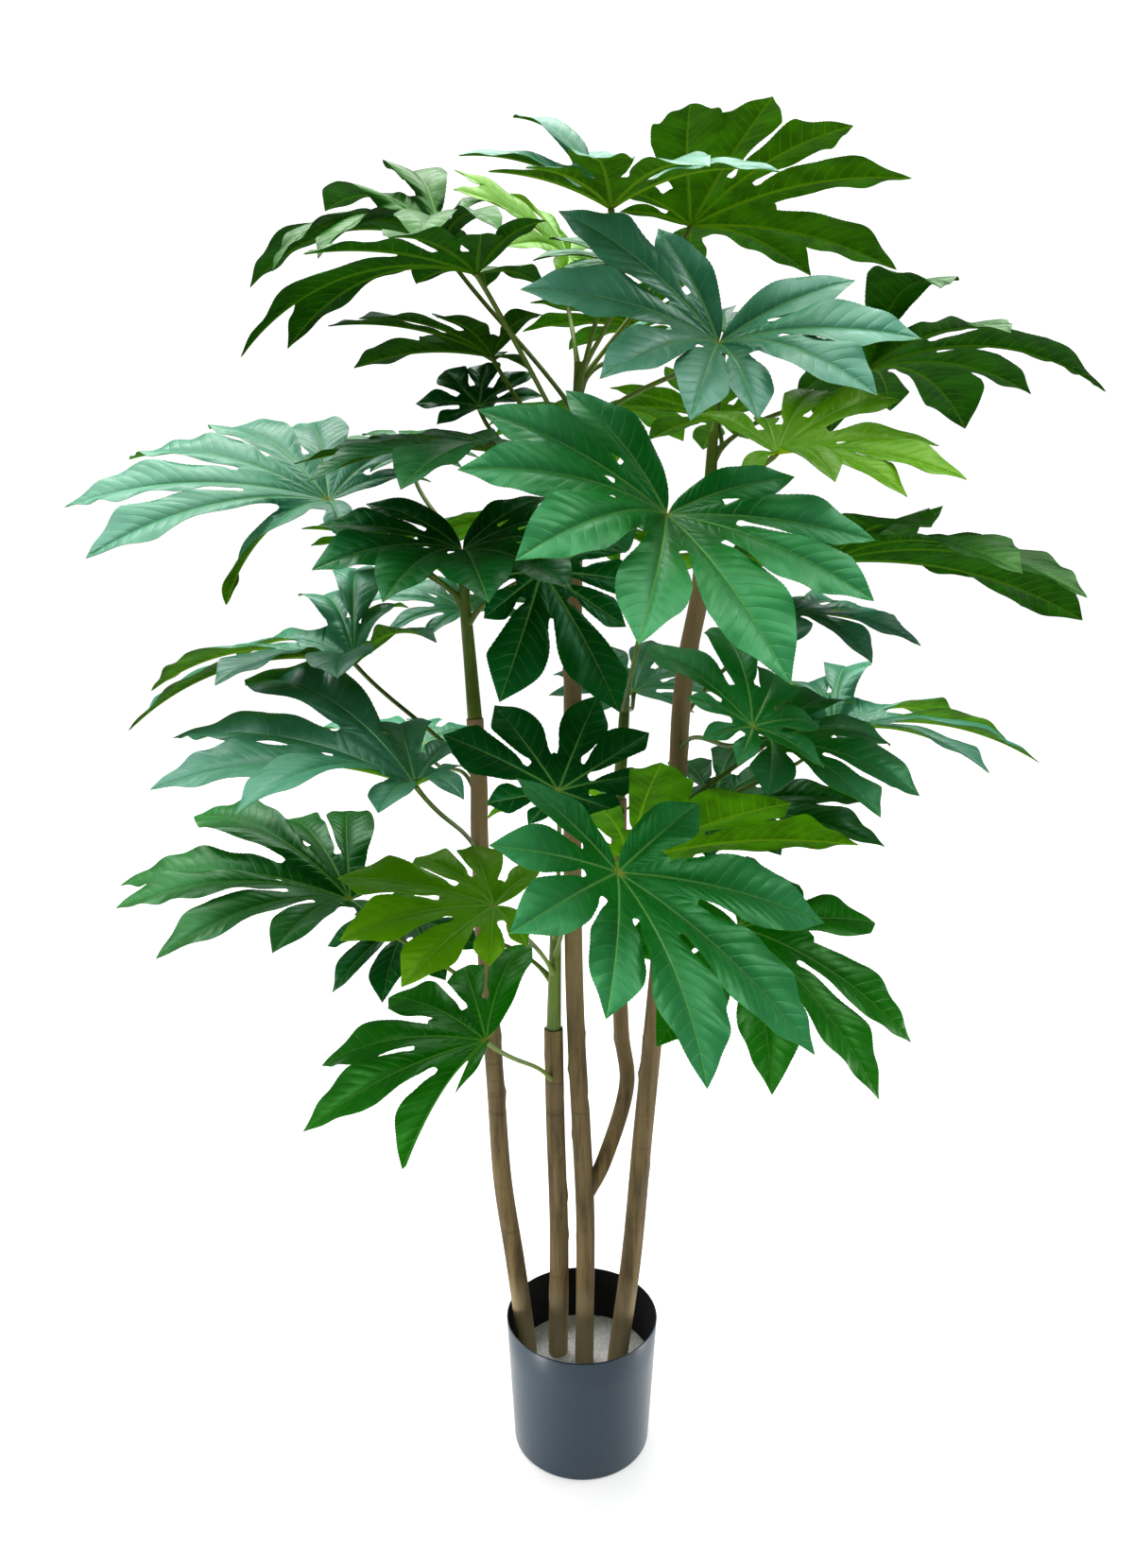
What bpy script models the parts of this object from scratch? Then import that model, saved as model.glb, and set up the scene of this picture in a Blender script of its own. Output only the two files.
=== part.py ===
"""Potted fatsia, an artificial tree.

Four brown trunks stand in a whitish fill in a plain dark pot. The centre trunk forks low down.
A green shoot sits in a socket in each trunk's top and carries leaf stalks. Other leaves have their
stalk plugged straight into a trunk. Each leaf is a palmate blade of seven to nine lobes.

Units are metres, +Z is up, +X is to the right of the front view and +Y is away from the viewer.
The origin is the centre of the pot's base.
"""
import math
import random

import bmesh
import bpy
import numpy as np

UP = np.array([0.0, 0.0, 1.0])
GAP = 0.0003
SLACK = 0.0004

# Pot and fill
POT_HEIGHT = 0.154
POT_RIM_RADIUS = 0.085
POT_BASE_RADIUS = 0.077
POT_EDGE = 0.004
POT_LIP = 0.001
POT_WALL = 0.002
POT_FLOOR = 0.003
POT_CORNER = 0.003
POT_SIDES = 36
FILL_TOP = 0.094
FILL_EDGE = 0.003
FILL_EDGE_WIDTH = 0.002
TRUNK_FOOT = 0.030

# Stems
TRUNK_SIDES = 8
SHOOT_SIDES = 7
SPIGOT_RADIUS = 0.0055
SPIGOT_DEPTH = 0.014
STALK_SIDES = 5
STALK_STEPS = 3
STALK_RADIUS = 0.0026
STALK_ROOT_RADIUS = 0.0036
STALK_PLUG_RADIUS = 0.0030
STALK_PROUD = 0.001
LEAVE_OUT = 0.65
LEAVE_UP = 0.76
ARRIVE_ALONG = 0.55
ARRIVE_UP = 0.84
ARRIVE_STRAIGHT = 0.8
ARRIVE_LEAST = 0.4
BOW_START = 0.38
BOW_END = 0.34

# Blades
BLADE = 0.0008
SPREAD = 250.0
SINUS = 0.34
DEEPEST_SINUS = 0.55
HALF_WIDTH = 0.152
USUAL_GAP = 31.25
OUTER_SHORTER = 0.36
OUTER_POWER = 2.2
FOLD = 16.0
FOLD_AT_HUB = 0.35
FOLD_OPENS = 1.3
FOLD_FLATTENS = 0.4
WEDGE_SHARE = 0.97
LOBE_STATIONS = (0, .10, .30, .48, .62, .78, .91, 1)
LOBE_WIDTHS = (.60, .66, .93, 1.0, .93, .60, .24, 0)
SIDE_STATIONS = (0, .06, .20, .38, .62, .80, .93, 1)
SIDE_WIDTHS = (0, .28, .66, .93, 1.0, .62, .22, 0)
WEB_FOLD = 0.33
CREASE_LAG = 0.03
LARGE_ROWS = (0.62, 0.84)
SMALL_ROWS = (0.72,)
SMALL_LEAF = 0.18

# How far each lobe may differ at random: a share of its length and of its notch, and degrees for the rest.
LENGTH_VARIES = 0.04
SINUS_VARIES = 0.15
RISE_VARIES = 4.0
FALL_VARIES = 7.0
SWAY_VARIES = 7.0
TWIST_VARIES = 12.0
ANGLE_VARIES = 1.5

# The middle line of each stem, from its foot up, and its radius at the foot and at the top.
TRUNKS = {
    "trunk_left": ([(-.063, .014, TRUNK_FOOT), (-.063, .012, .104), (-.075, .008, .213), (-.088, .004, .319),
                    (-.094, 0, .432), (-.100, 0, .541), (-.107, 0, .697), (-.107, 0, .768), (-.110, 0, .836)],
                   .0108, .0088),
    "trunk_short": ([(-.027, .013, TRUNK_FOOT), (-.027, .011, .104), (-.026, .004, .250), (-.029, 0, .380),
                     (-.031, 0, .500)], .0110, .0100),
    "trunk_centre": ([(.002, -.005, TRUNK_FOOT), (.003, -.004, .091), (.004, -.002, .260), (-.001, 0, .376),
                      (-.007, 0, .487), (-.010, 0, .594), (-.011, 0, .750), (-.011, .003, .884),
                      (-.010, .008, 1.000)], .0108, .0086),
    "trunk_right": ([(.041, -.005, TRUNK_FOOT), (.041, -.004, .091), (.055, -.002, .225), (.066, 0, .376),
                     (.075, 0, .487), (.083, 0, .594), (.095, 0, .748), (.098, 0, .836), (.103, 0, .894),
                     (.113, 0, .950), (.117, 0, .985)], .0114, .0090),
}
FORK = ([(.003, 0, .300), (.025, .008, .342), (.049, .022, .421), (.043, .024, .487), (.039, .022, .594),
         (.037, .020, .748)], .0085, .0084)
SHOOTS = {
    "shoot_left": ("trunk_left", [(-.110, 0, .836), (-.114, .004, .890), (-.118, .002, .950),
                                  (-.119, 0, .990)], .0074, .0048),
    "shoot_short": ("trunk_short", [(-.031, 0, .500), (-.030, 0, .550), (-.029, 0, .600), (-.029, 0, .620)],
                    .0080, .0052),
    "shoot_centre": ("trunk_centre", [(-.010, .008, 1.000), (-.008, .010, 1.060), (-.006, .010, 1.140),
                                      (-.005, .010, 1.180)], .0072, .0048),
    "shoot_fork": ("trunk_centre", [(.037, .020, .748), (.041, .018, .817), (.043, .018, .855)],
                   .0070, .0048),
    "shoot_right": ("trunk_right", [(.117, 0, .985), (.121, 0, 1.040), (.123, 0, 1.086), (.124, 0, 1.115)],
                    .0074, .0048),
}

# One row for each leaf: name, tone, the stem that carries it and the height there, the middle of the blade,
# the length of its middle lobe, the compass heading of that lobe (0 is +X, 90 is +Y), how far the upper side
# leans to +X and to +Y, the number of lobes, how steeply the lobes rise at the middle and fall at the tips,
# and what single lobes do otherwise.
LEAVES = [
    ("leaf_centre_01", "blue", "shoot_centre", 1.15, (.020, -.120, 1.285), .170, -125, 0, -17, 9, 32, 5,
     {0: {"rise": 18}, 1: {"rise": 25}, 2: {"rise": 10, "long": .85}, 3: {"long": .65}, 4: {"long": .7},
      7: {"long": 1.15}}),
    ("leaf_centre_02", "green", "shoot_centre", 1.16, (.105, .070, 1.315), .220, -42, 0, 14, 9, 16, 15,
     {0: {"long": .5}, 1: {"long": .55}, 2: {"turn": 4, "long": 1.05}, 3: {"long": .93},
      4: {"turn": -10, "long": .93}, 5: {"turn": -15, "rise": 4}, 6: {"turn": -10, "rise": -8, "long": 1.1},
      7: {"turn": -15}}),
    ("leaf_centre_03", "green", "shoot_centre", 1.13, (-.145, .110, 1.305), .200, 175, 0, -4, 9, 30, 42,
     {"wide": 1.2, 0: {"rise": 35, "fall": -40, "long": .85}, 1: {"rise": 20, "long": .5},
      2: {"rise": 40, "fall": -35},
      3: {"rise": 20, "fall": -25}, 4: {"long": 1.12}, 5: {"fall": 15}, 6: {"fall": 10}, 8: {"rise": 10}}),
    ("leaf_centre_04", "green", "shoot_centre", 1.09, (-.095, -.090, 1.24), .240, 185, 0, -6, 9, 18, 50,
     {"wide": 1.1, 0: {"fall": -30, "long": .7}, 1: {"fall": -30, "long": .5}, 2: {"fall": -30, "long": .5},
      3: {"long": .93}, 4: {"long": .93}, 5: {"fall": -45, "long": .7}, 6: {"fall": -45, "long": .7},
      7: {"fall": -45, "long": .6}, 8: {"rise": 20, "fall": -45, "long": .7}}),
    ("leaf_centre_05", "lime", "shoot_centre", 1.165, (-.015, .160, 1.305), .150, 150, 38, -25, 8, 10, 20,
     {"leave": (-.1, .25, .95)}),
    ("leaf_centre_06", "blue", "shoot_centre", 1.1, (.110, -.140, 1.175), .205, -106, 5, -47, 9, 34, 0,
     {"wide": 1.08, 0: {"long": .88}, 1: {"turn": -5, "long": 1.05}, 2: {"long": .92},
      3: {"turn": 10, "rise": 5, "long": .75}, 4: {"turn": 12, "long": .78}, 5: {"turn": 2, "long": .62},
      6: {"turn": 5, "rise": 5, "long": .9}, 8: {"turn": 15}}),
    ("leaf_centre_07", "dark", "shoot_centre", 1.06, (-.095, .120, 1.2), .170, 185, 6, 2, 8, 20, 15,
     {"wide": 1.15, 0: {"long": .6}, 1: {"long": .7}, 2: {"long": .85}, 3: {"rise": -12, "long": .95},
      4: {"fall": 5, "long": 1.08}, 5: {"turn": -15}, 6: {"turn": -28, "rise": 5, "long": .85},
      7: {"rise": 40, "long": .8}}),
    ("leaf_centre_08", "green", "shoot_centre", 1.15, (.065, .200, 1.24), .140, 185, 0, 12, 8, 15, 12, {}),
    ("leaf_right_01", "green", "shoot_right", 1.06, (.145, .150, 1.14), .130, 180, 8, 15, 8, 12, 5, {}),
    ("leaf_centre_09", "dark", "shoot_centre", 1.05, (-.110, .125, 1.150), .080, 80, -10, -38, 7, 18, 10,
     {"wide": 1.4}),
    ("leaf_centre_10", "dark", "shoot_centre", 1.02, (-.065, -.075, 1.09), .205, 182, -2, -8, 9, 15, 20,
     {"wide": 1.2, 0: {"long": .5}, 1: {"long": .7}, 3: {"long": .9}, 7: {"long": .8}, 8: {"long": .6}}),
    ("leaf_left_01", "blue", "shoot_left", .950, (-.245, -.020, 1.05), .255, 162, 4, -26, 9, 22, 25,
     {"wide": 1.1, 0: {"long": .72}, 1: {"turn": -8, "fall": 12}, 2: {"long": .85},
      3: {"fall": 5, "long": .95}, 4: {"long": .92}, 6: {"turn": -10, "rise": 3},
      7: {"turn": -22, "fall": 45, "long": .78, "twist": 75, "wide": 1.35},
      8: {"long": .5}}),
    ("leaf_left_02", "dark", "shoot_left", .975, (-.110, -.110, 1.005), .165, -82, 2, -28, 9, 30, 5,
     {"wide": 1.2}),
    ("leaf_fork_01", "green", "shoot_fork", .840, (.065, -.190, 1.035), .215, -98, 11, -46, 9, 26, 6,
     {"wide": 1.08, 0: {"long": 1.08}, 2: {"turn": -5, "rise": 12, "long": .95}, 3: {"rise": 18, "long": .86},
      4: {"turn": 9, "long": .85}, 5: {"turn": 8, "long": .95}, 6: {"turn": 12, "long": .95},
      8: {"turn": 8, "long": .82}}),
    ("leaf_right_02", "green", "shoot_right", 1.09, (.285, .060, 1.18), .235, 0, 0, 8, 9, 20, 30,
     {"wide": 1.4, 1: {"turn": 6, "rise": 26}, 2: {"long": .85}, 3: {"fall": 8}, 4: {"long": .75, "turn": 4},
      5: {"turn": 8, "long": .9}, 6: {"long": .7}, 8: {"long": .7}}),
    ("leaf_right_03", "lime", "shoot_right", 1.045, (.170, -.090, 1.09), .180, 0, 0, -26, 9, 20, 18,
     {0: {"long": .6}, 1: {"turn": 18, "rise": 15, "long": .95}, 2: {"turn": 8, "rise": 10, "long": .87},
      3: {"long": .95}, 4: {"long": .84}, 5: {"turn": 8, "long": .93}, 6: {"turn": 7, "long": .88},
      7: {"long": .6}}),
    ("leaf_right_04", "green", "shoot_right", 1.01, (.240, 0, .992), .240, 0, 7, 5, 9, 14, 22,
     {"wide": 1.4, 1: {"turn": 18, "rise": 18, "twist": 25}, 2: {"turn": 5, "rise": 12, "twist": 30},
      3: {"rise": 4, "long": 1.1, "twist": 15}, 4: {"long": 1.08, "twist": -40},
      5: {"turn": -12, "rise": 12, "twist": -50}, 6: {"turn": -8, "rise": 20, "twist": -30}}),
    ("leaf_right_05", "blue", "trunk_right", .830, (.220, .100, .935), .145, -8, 6, -10, 8, 15, 25,
     {"wide": 1.2}),
    ("leaf_right_06", "green", "trunk_right", .735, (.185, -.030, .820), .160, -8, 8, -17, 8, 15, 25,
     {"wide": 1.4, 0: {"long": .6}, 1: {"long": .8}, 2: {"turn": 10}, 4: {"turn": 12},
      5: {"turn": 5, "rise": 8}, 7: {"long": .6}}),
    ("leaf_right_07", "blue", "trunk_right", .700, (.290, .160, .795), .210, 0, -2, 8, 9, 18, 30,
     {"wide": 1.1, "leave": (.45, -.3, .85), 1: {"long": .7}, 2: {"turn": 12, "rise": -4, "long": 1.12},
      3: {"fall": 6, "long": 1.1, "twist": -14}, 4: {"fall": 4, "twist": -16}, 5: {"rise": 8, "twist": -10},
      6: {"turn": 10, "rise": 45, "fall": -10}, 7: {"rise": 40, "fall": -10}}),
    ("leaf_right_08", "green", "trunk_right", .800, (.145, -.165, .855), .140, 130, 28, -33, 8, 10, 20,
     {"wide": 1.25, 0: {"turn": -8, "long": .9}, 1: {"long": .8}, 3: {"turn": -12, "long": 1.12},
      4: {"turn": -6, "long": .95}, 5: {"turn": -8, "long": .5}, 6: {"long": .5}, 7: {"long": .6}}),
    ("leaf_short_01", "dark", "shoot_short", .600, (-.025, -.085, .780), .145, 100, 8, -62, 8, 10, 10,
     {"wide": 1.35, 0: {"long": .7}, 1: {"long": .7}, 2: {"turn": -18, "long": .78},
      3: {"turn": -16, "long": .7}, 4: {"turn": 3, "long": .72}, 5: {"turn": -5, "long": .92},
      6: {"long": .6}, 7: {"long": .5}}),
    ("leaf_short_02", "green", "shoot_short", .580, (.025, -.240, .745), .225, -66, 35, -35, 8, 20, 5,
     {"wide": 1.05, 0: {"rise": -10, "long": .78}, 1: {"turn": 9, "long": .72}, 2: {"turn": 2, "long": .73},
      3: {"turn": 2, "long": .7}, 4: {"turn": -3, "long": .87, "sway": -8},
      5: {"turn": -5, "long": 1.03, "sway": -12}, 6: {"long": 1.05, "sway": -8},
      7: {"turn": 10, "long": .9}}),
    ("leaf_left_03", "blue", "trunk_left", .690, (-.155, -.130, .795), .250, 166, 0, -11, 9, 20, 20,
     {"wide": 1.1, 0: {"long": .35}, 1: {"long": .5}, 2: {"long": .8}, 3: {"rise": 18, "long": 1.08},
      4: {"turn": -3, "rise": 7, "long": 1.03}, 5: {"turn": -5, "rise": 4, "long": .93},
      6: {"turn": -5, "rise": 22, "long": .85}, 7: {"rise": 10, "long": .5},
      8: {"turn": 18, "rise": 25, "long": .55}}),
    ("leaf_left_04", "green", "trunk_left", .530, (-.240, -.020, .650), .240, 175, 0, -8, 9, 18, 20,
     {"wide": 1.1, 0: {"long": .6}, 1: {"turn": 20, "rise": 14}, 2: {"turn": 7, "rise": 12, "long": 1.05},
      3: {"rise": 20, "long": 1.05}, 4: {"rise": 8, "long": 1.05}, 5: {"turn": -15, "rise": 14},
      6: {"turn": -15, "rise": 12}, 7: {"turn": -20, "rise": 10, "long": .75}, 8: {"long": .6}}),
    ("leaf_short_03", "lime", "shoot_short", .560, (-.085, -.130, .680), .160, 178, -2, -23, 8, 15, 20,
     {"wide": 1.3, 0: {"long": .7}, 1: {"turn": 15, "long": .82}, 2: {"turn": 8, "long": .8},
      4: {"long": .93},
      5: {"long": .87}, 6: {"turn": 5, "long": .55}, 7: {"long": .6}}),
    ("leaf_short_04", "dark", "shoot_short", .550, (-.190, .080, .595), .120, 235, -18, -25, 8, 15, 25,
     {"wide": 1.2}),
    ("leaf_short_05", "green", "trunk_short", .435, (-.095, -.120, .540), .200, 176, -9, -16, 7, 15, 28,
     {"wide": 1.1, "spread": 200, 0: {"rise": 25}, 1: {"turn": -6, "rise": 18, "long": .7},
      2: {"turn": -10, "long": .83},
      3: {"long": .9}, 5: {"long": .87}, 6: {"turn": -30, "long": .45}}),
    ("leaf_right_09", "green", "trunk_right", .570, (.155, -.060, .635), .210, -46, 24, -25, 9, 15, 20,
     {"wide": 1.05, 2: {"turn": -5}, 3: {"turn": -6}, 5: {"turn": -4}, 6: {"turn": 8, "long": .95},
      7: {"turn": 6, "long": .8}}),
    ("leaf_fork_02", "green", "fork", .620, (.045, -.080, .710), .200, -20, 0, 40, 8, 10, 12,
     {"wide": 1.3, 0: {"long": .5}, 1: {"long": .8}, 2: {"turn": -20, "long": 1.08},
      3: {"turn": -8, "long": .9}, 4: {"turn": -15, "long": 1.08}, 5: {"long": .7}, 6: {"long": .5},
      7: {"long": .5}}),
    ("leaf_right_10", "dark", "trunk_right", .650, (.145, .090, .725), .180, 25, -8, -10, 9, 8, 20,
     {"wide": 1.3, 2: {"long": 1.2}, 3: {"long": .9}, 4: {"turn": 20, "rise": 6, "long": .85},
      5: {"turn": 12, "rise": 20}, 6: {"turn": 8}}),
    ("leaf_left_05", "dark", "shoot_left", .930, (-.040, -.060, .985), .155, -82, 14, -60, 8, 10, 12,
     {"wide": 1.35, "spread": 230, 0: {"long": .75}, 1: {"long": .6}, 2: {"long": .5}, 3: {"long": .87},
      4: {"turn": 12, "long": .97}, 5: {"long": .65}, 6: {"long": .7}}),
    ("leaf_left_06", "blue", "trunk_left", .770, (-.240, .060, .885), .225, 178, -4, 5, 9, 20, 30,
     {"wide": 1.2, 0: {"rise": 60, "fall": -20, "long": .8}, 1: {"turn": 8, "rise": 60, "fall": -30},
      2: {"rise": 50, "fall": -20, "long": .85}, 3: {"rise": 20, "long": .85, "twist": -20},
      4: {"rise": 5, "twist": 12}, 5: {"fall": 5, "long": 1.15, "twist": 22},
      8: {"turn": 12, "rise": 20, "long": 1.1}}),
    ("leaf_left_07", "blue", "trunk_left", .740, (-.190, .220, .770), .150, 150, 7, -6, 8, 15, 25, {}),
    ("leaf_fork_03", "blue", "shoot_fork", .820, (.060, .170, .840), .120, 95, 2, -25, 8, 15, 20, {}),
    ("leaf_left_08", "blue", "shoot_left", .900, (-.135, .200, .930), .130, 120, 5, -16, 8, 15, 25, {}),
    ("leaf_left_09", "dark", "shoot_left", .980, (-.195, .190, 1.105), .100, 110, 5, -20, 8, 15, 20, {}),
    ("leaf_left_10", "green", "shoot_left", .940, (-.190, .100, 1), .110, 190, 5, 15, 8, 15, 20, {}),
    ("leaf_centre_11", "dark", "shoot_centre", 1.17, (.035, -.020, 1.26), .090, 130, 10, -25, 8, 15, 20, {}),
    ("leaf_right_11", "blue", "shoot_right", 1.1, (.140, .050, 1.215), .120, 70, -5, -22, 8, 15, 20, {}),
    ("leaf_centre_12", "green", "shoot_centre", 1.08, (.025, .260, 1.155), .180, 80, 0, 6, 9, 18, 30, {}),
    ("leaf_centre_13", "green", "shoot_centre", 1.01, (-.040, .250, 1.025), .180, 115, 0, 12, 9, 18, 30, {}),
    ("leaf_right_12", "green", "shoot_right", 1, (.165, .280, .980), .160, 85, 5, 12, 9, 18, 30, {}),
    ("leaf_fork_04", "green", "shoot_fork", .770, (.030, .220, .705), .190, 90, 0, 14, 9, 18, 30,
     {"leave": (0, 1, .2)}),
]

TONES = {
    "green": (0.03, 0.17, 0.06),
    "dark": (0.01, 0.07, 0.03),
    "lime": (0.16, 0.38, 0.04),
    "blue": (0.10, 0.27, 0.17),
}


def unit(vector):
    return vector / np.linalg.norm(vector)


def material(name, colour, roughness, metallic=0.0):
    made = bpy.data.materials.get(name)
    if made is None:
        made = bpy.data.materials.new(name)
        made.use_nodes = True
        shader = made.node_tree.nodes["Principled BSDF"]
        shader.inputs["Base Color"].default_value = (*colour, 1.0)
        shader.inputs["Roughness"].default_value = roughness
        shader.inputs["Metallic"].default_value = metallic
    return made


def mesh_object(name, points, faces, finish, smooth=False):
    """A new object in the scene, from points and faces whose order shows which way is out."""
    mesh = bpy.data.meshes.new(name)
    corners = [tuple(float(c) for c in point) for point in points]
    mesh.from_pydata(corners, [], [tuple(int(i) for i in face) for face in faces])
    mesh.validate()
    mesh.materials.append(finish)
    if smooth:
        mesh.shade_smooth()
        mesh.set_sharp_from_angle(angle=math.radians(40))
    made = bpy.data.objects.new(name, mesh)
    bpy.context.scene.collection.objects.link(made)
    return made


def combine(base, others, operation, solver="EXACT"):
    """Join the other objects to the base, or cut them from it, and remove them."""
    group = bpy.data.collections.new(base.name + "_group")
    for other in others:
        group.objects.link(other)
    boolean = base.modifiers.new("combine", "BOOLEAN")
    boolean.operation = operation
    boolean.operand_type = "COLLECTION"
    boolean.collection = group
    boolean.solver = solver
    apply_modifiers(base)
    for other in others:
        bpy.data.objects.remove(other)
    bpy.data.collections.remove(group)


def apply_modifiers(made):
    view = bpy.context.evaluated_depsgraph_get()
    mesh = bpy.data.meshes.new_from_object(made.evaluated_get(view))
    made.modifiers.clear()
    made.data = mesh


def turned(name, profile, sides, finish):
    """A solid turned about the Z axis from (radius, height) points, up the outside and back inside."""
    shape = bmesh.new()
    rings = []
    for radius, height in profile:
        if radius == 0:
            rings.append([shape.verts.new((0, 0, height))])
            continue
        steps = [2 * math.pi * k / sides for k in range(sides)]
        rings.append([shape.verts.new((radius * math.cos(a), radius * math.sin(a), height)) for a in steps])
    for low, high in zip(rings[:-1], rings[1:]):
        for k in range(sides):
            after = (k + 1) % sides
            if len(low) == 1:
                shape.faces.new((low[0], high[after], high[k]))
            elif len(high) == 1:
                shape.faces.new((low[k], low[after], high[0]))
            else:
                shape.faces.new((low[k], low[after], high[after], high[k]))
    mesh = bpy.data.meshes.new(name)
    shape.to_mesh(mesh)
    shape.free()
    mesh.materials.append(finish)
    mesh.shade_smooth()
    mesh.set_sharp_from_angle(angle=math.radians(40))
    made = bpy.data.objects.new(name, mesh)
    bpy.context.scene.collection.objects.link(made)
    return made


def smooth_path(path, steps):
    """A smooth curve through the points of a path, with some steps from each point to the next."""
    p = np.array(path, float)
    p = np.vstack([2 * p[0] - p[1], p, 2 * p[-1] - p[-2]])
    made = []
    for a, b, c, d in zip(p[:-3], p[1:-2], p[2:-1], p[3:]):
        for t in np.linspace(0, 1, steps, endpoint=False):
            made.append(0.5 * (2 * b + (c - a) * t + (2 * a - 5 * b + 4 * c - d) * t ** 2
                               + (3 * b - a - 3 * c + d) * t ** 3))
    made.append(p[-2])
    return np.array(made)


def bow(start, leave, arrive, end, steps):
    """A stalk's curve: it leaves its root one way and comes up to the blade another way."""
    far = np.linalg.norm(end - start)
    first = start + leave * far * BOW_START
    second = end - arrive * far * BOW_END
    t = np.linspace(0, 1, steps + 1)[:, None]
    return (1 - t) ** 3 * start + 3 * (1 - t) ** 2 * t * first + 3 * (1 - t) * t * t * second + t ** 3 * end


def tube_rings(path, radii, sides, first_normal=None, last_normal=None):
    """Rings of points square to the path. The end ones may lie square to given directions."""
    steps = [unit(step) for step in np.diff(path, axis=0)]
    ahead = [unit(a + b) for a, b in zip([steps[0], *steps], [*steps, steps[-1]])]
    if first_normal is not None:
        ahead[0] = np.array(first_normal, float)
    if last_normal is not None:
        ahead[-1] = np.array(last_normal, float)
    seed = [1, 0.1, 0] if abs(ahead[0][2]) > 0.9 else [0.31, 0.17, 0.93]
    side = np.cross(ahead[0], seed)
    rings = []
    for centre, direction, radius in zip(path, ahead, radii):
        side = unit(side - direction * side.dot(direction))
        other = np.cross(direction, side)
        turns = [2 * math.pi * k / sides for k in range(sides)]
        rings.append([centre + radius * (math.cos(a) * side + math.sin(a) * other) for a in turns])
    return rings


def tube(name, rings, finish):
    """A closed tube through the rings."""
    sides = len(rings[0])
    points = [point for ring in rings for point in ring]
    faces = []
    for i in range(len(rings) - 1):
        for k in range(sides):
            a = i * sides + k
            b = i * sides + (k + 1) % sides
            faces.append((a, b, b + sides, a + sides))
    faces.append(tuple(range(sides))[::-1])
    faces.append(tuple(len(points) - sides + k for k in range(sides)))
    return mesh_object(name, points, faces, finish, smooth=True)


def stem_at(path, height):
    """The point of a stem's middle line at a height."""
    p = np.array(path, float)
    return np.array([np.interp(height, p[:, 2], p[:, k]) for k in range(3)])


def leaf_axes(heading, right, back):
    """Rows: along the middle lobe, to its left, and out of the upper side."""
    turn = math.radians(heading)
    up = unit(np.array([math.tan(math.radians(right)), math.tan(math.radians(back)), 1.0]))
    ahead = np.array([math.cos(turn), math.sin(turn), 0.0])
    along = unit(ahead - up * up.dot(ahead))
    return np.array([along, np.cross(up, along), up])


class Lobe:
    """One lobe of a blade, in the leaf's own axes."""

    def __init__(self, length, wide, angle, gap, rise, fall, sway, twist):
        self.length = length
        self.angle = math.radians(angle)
        self.half_gaps = [math.radians(gap / 2)] * 2
        self.sinuses = [SINUS * length] * 2
        self.wide = wide * HALF_WIDTH * math.sqrt(gap / USUAL_GAP)
        self.rise = math.radians(rise)
        self.turn = math.radians(max(rise + fall, 1.0))
        self.sway = math.radians(sway)
        self.twist = math.radians(twist)
        self.fold = math.radians(FOLD)

    def point(self, x, y):
        """The point at x along the midrib, which bends in an arc, and y to its left."""
        t = x / self.length
        bend = self.rise - self.turn * t
        out = self.length * (math.sin(self.rise) - math.sin(bend)) / self.turn
        up = self.length * (math.cos(bend) - math.cos(self.rise)) / self.turn
        swing = self.sway * t
        a = self.angle + 0.5 * swing
        b = self.angle + swing
        forward = np.array([math.cos(b), math.sin(b), 0.0])
        left = np.array([-math.sin(b), math.cos(b), 0.0])
        normal = math.cos(bend) * np.array([0.0, 0.0, 1.0]) - math.sin(bend) * forward
        roll = self.twist * t * t
        across = math.cos(roll) * left + math.sin(roll) * normal
        normal = math.cos(roll) * normal - math.sin(roll) * left
        fold = self.fold * min(1.0, FOLD_AT_HUB + FOLD_OPENS * t) * (1.0 - FOLD_FLATTENS * t)
        middle = np.array([out * math.cos(a), out * math.sin(a), up])
        return middle + across * y * math.cos(fold) + normal * abs(y) * math.sin(fold)

    def notch(self, which):
        """The end of the notch on one side, 0 to the right and 1 to the left of the midrib."""
        x = self.sinuses[which] * math.cos(self.half_gaps[which])
        side = 2 * which - 1
        return self.point(x, side * x * math.tan(self.half_gaps[which]))

    def margin(self, x, which, free):
        """Half-width at x along the midrib on one side. A free side has no neighbouring lobe."""
        if free:
            return self.wide * self.length * float(np.interp(x / self.length, SIDE_STATIONS, SIDE_WIDTHS))
        sinus = self.sinuses[which] * math.cos(self.half_gaps[which])
        share = (x - sinus) / (self.length - sinus)
        wide = self.wide * self.length * float(np.interp(share, LOBE_STATIONS, LOBE_WIDTHS))
        return min(wide, WEDGE_SHARE * x * math.tan(self.half_gaps[which]))


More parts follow.
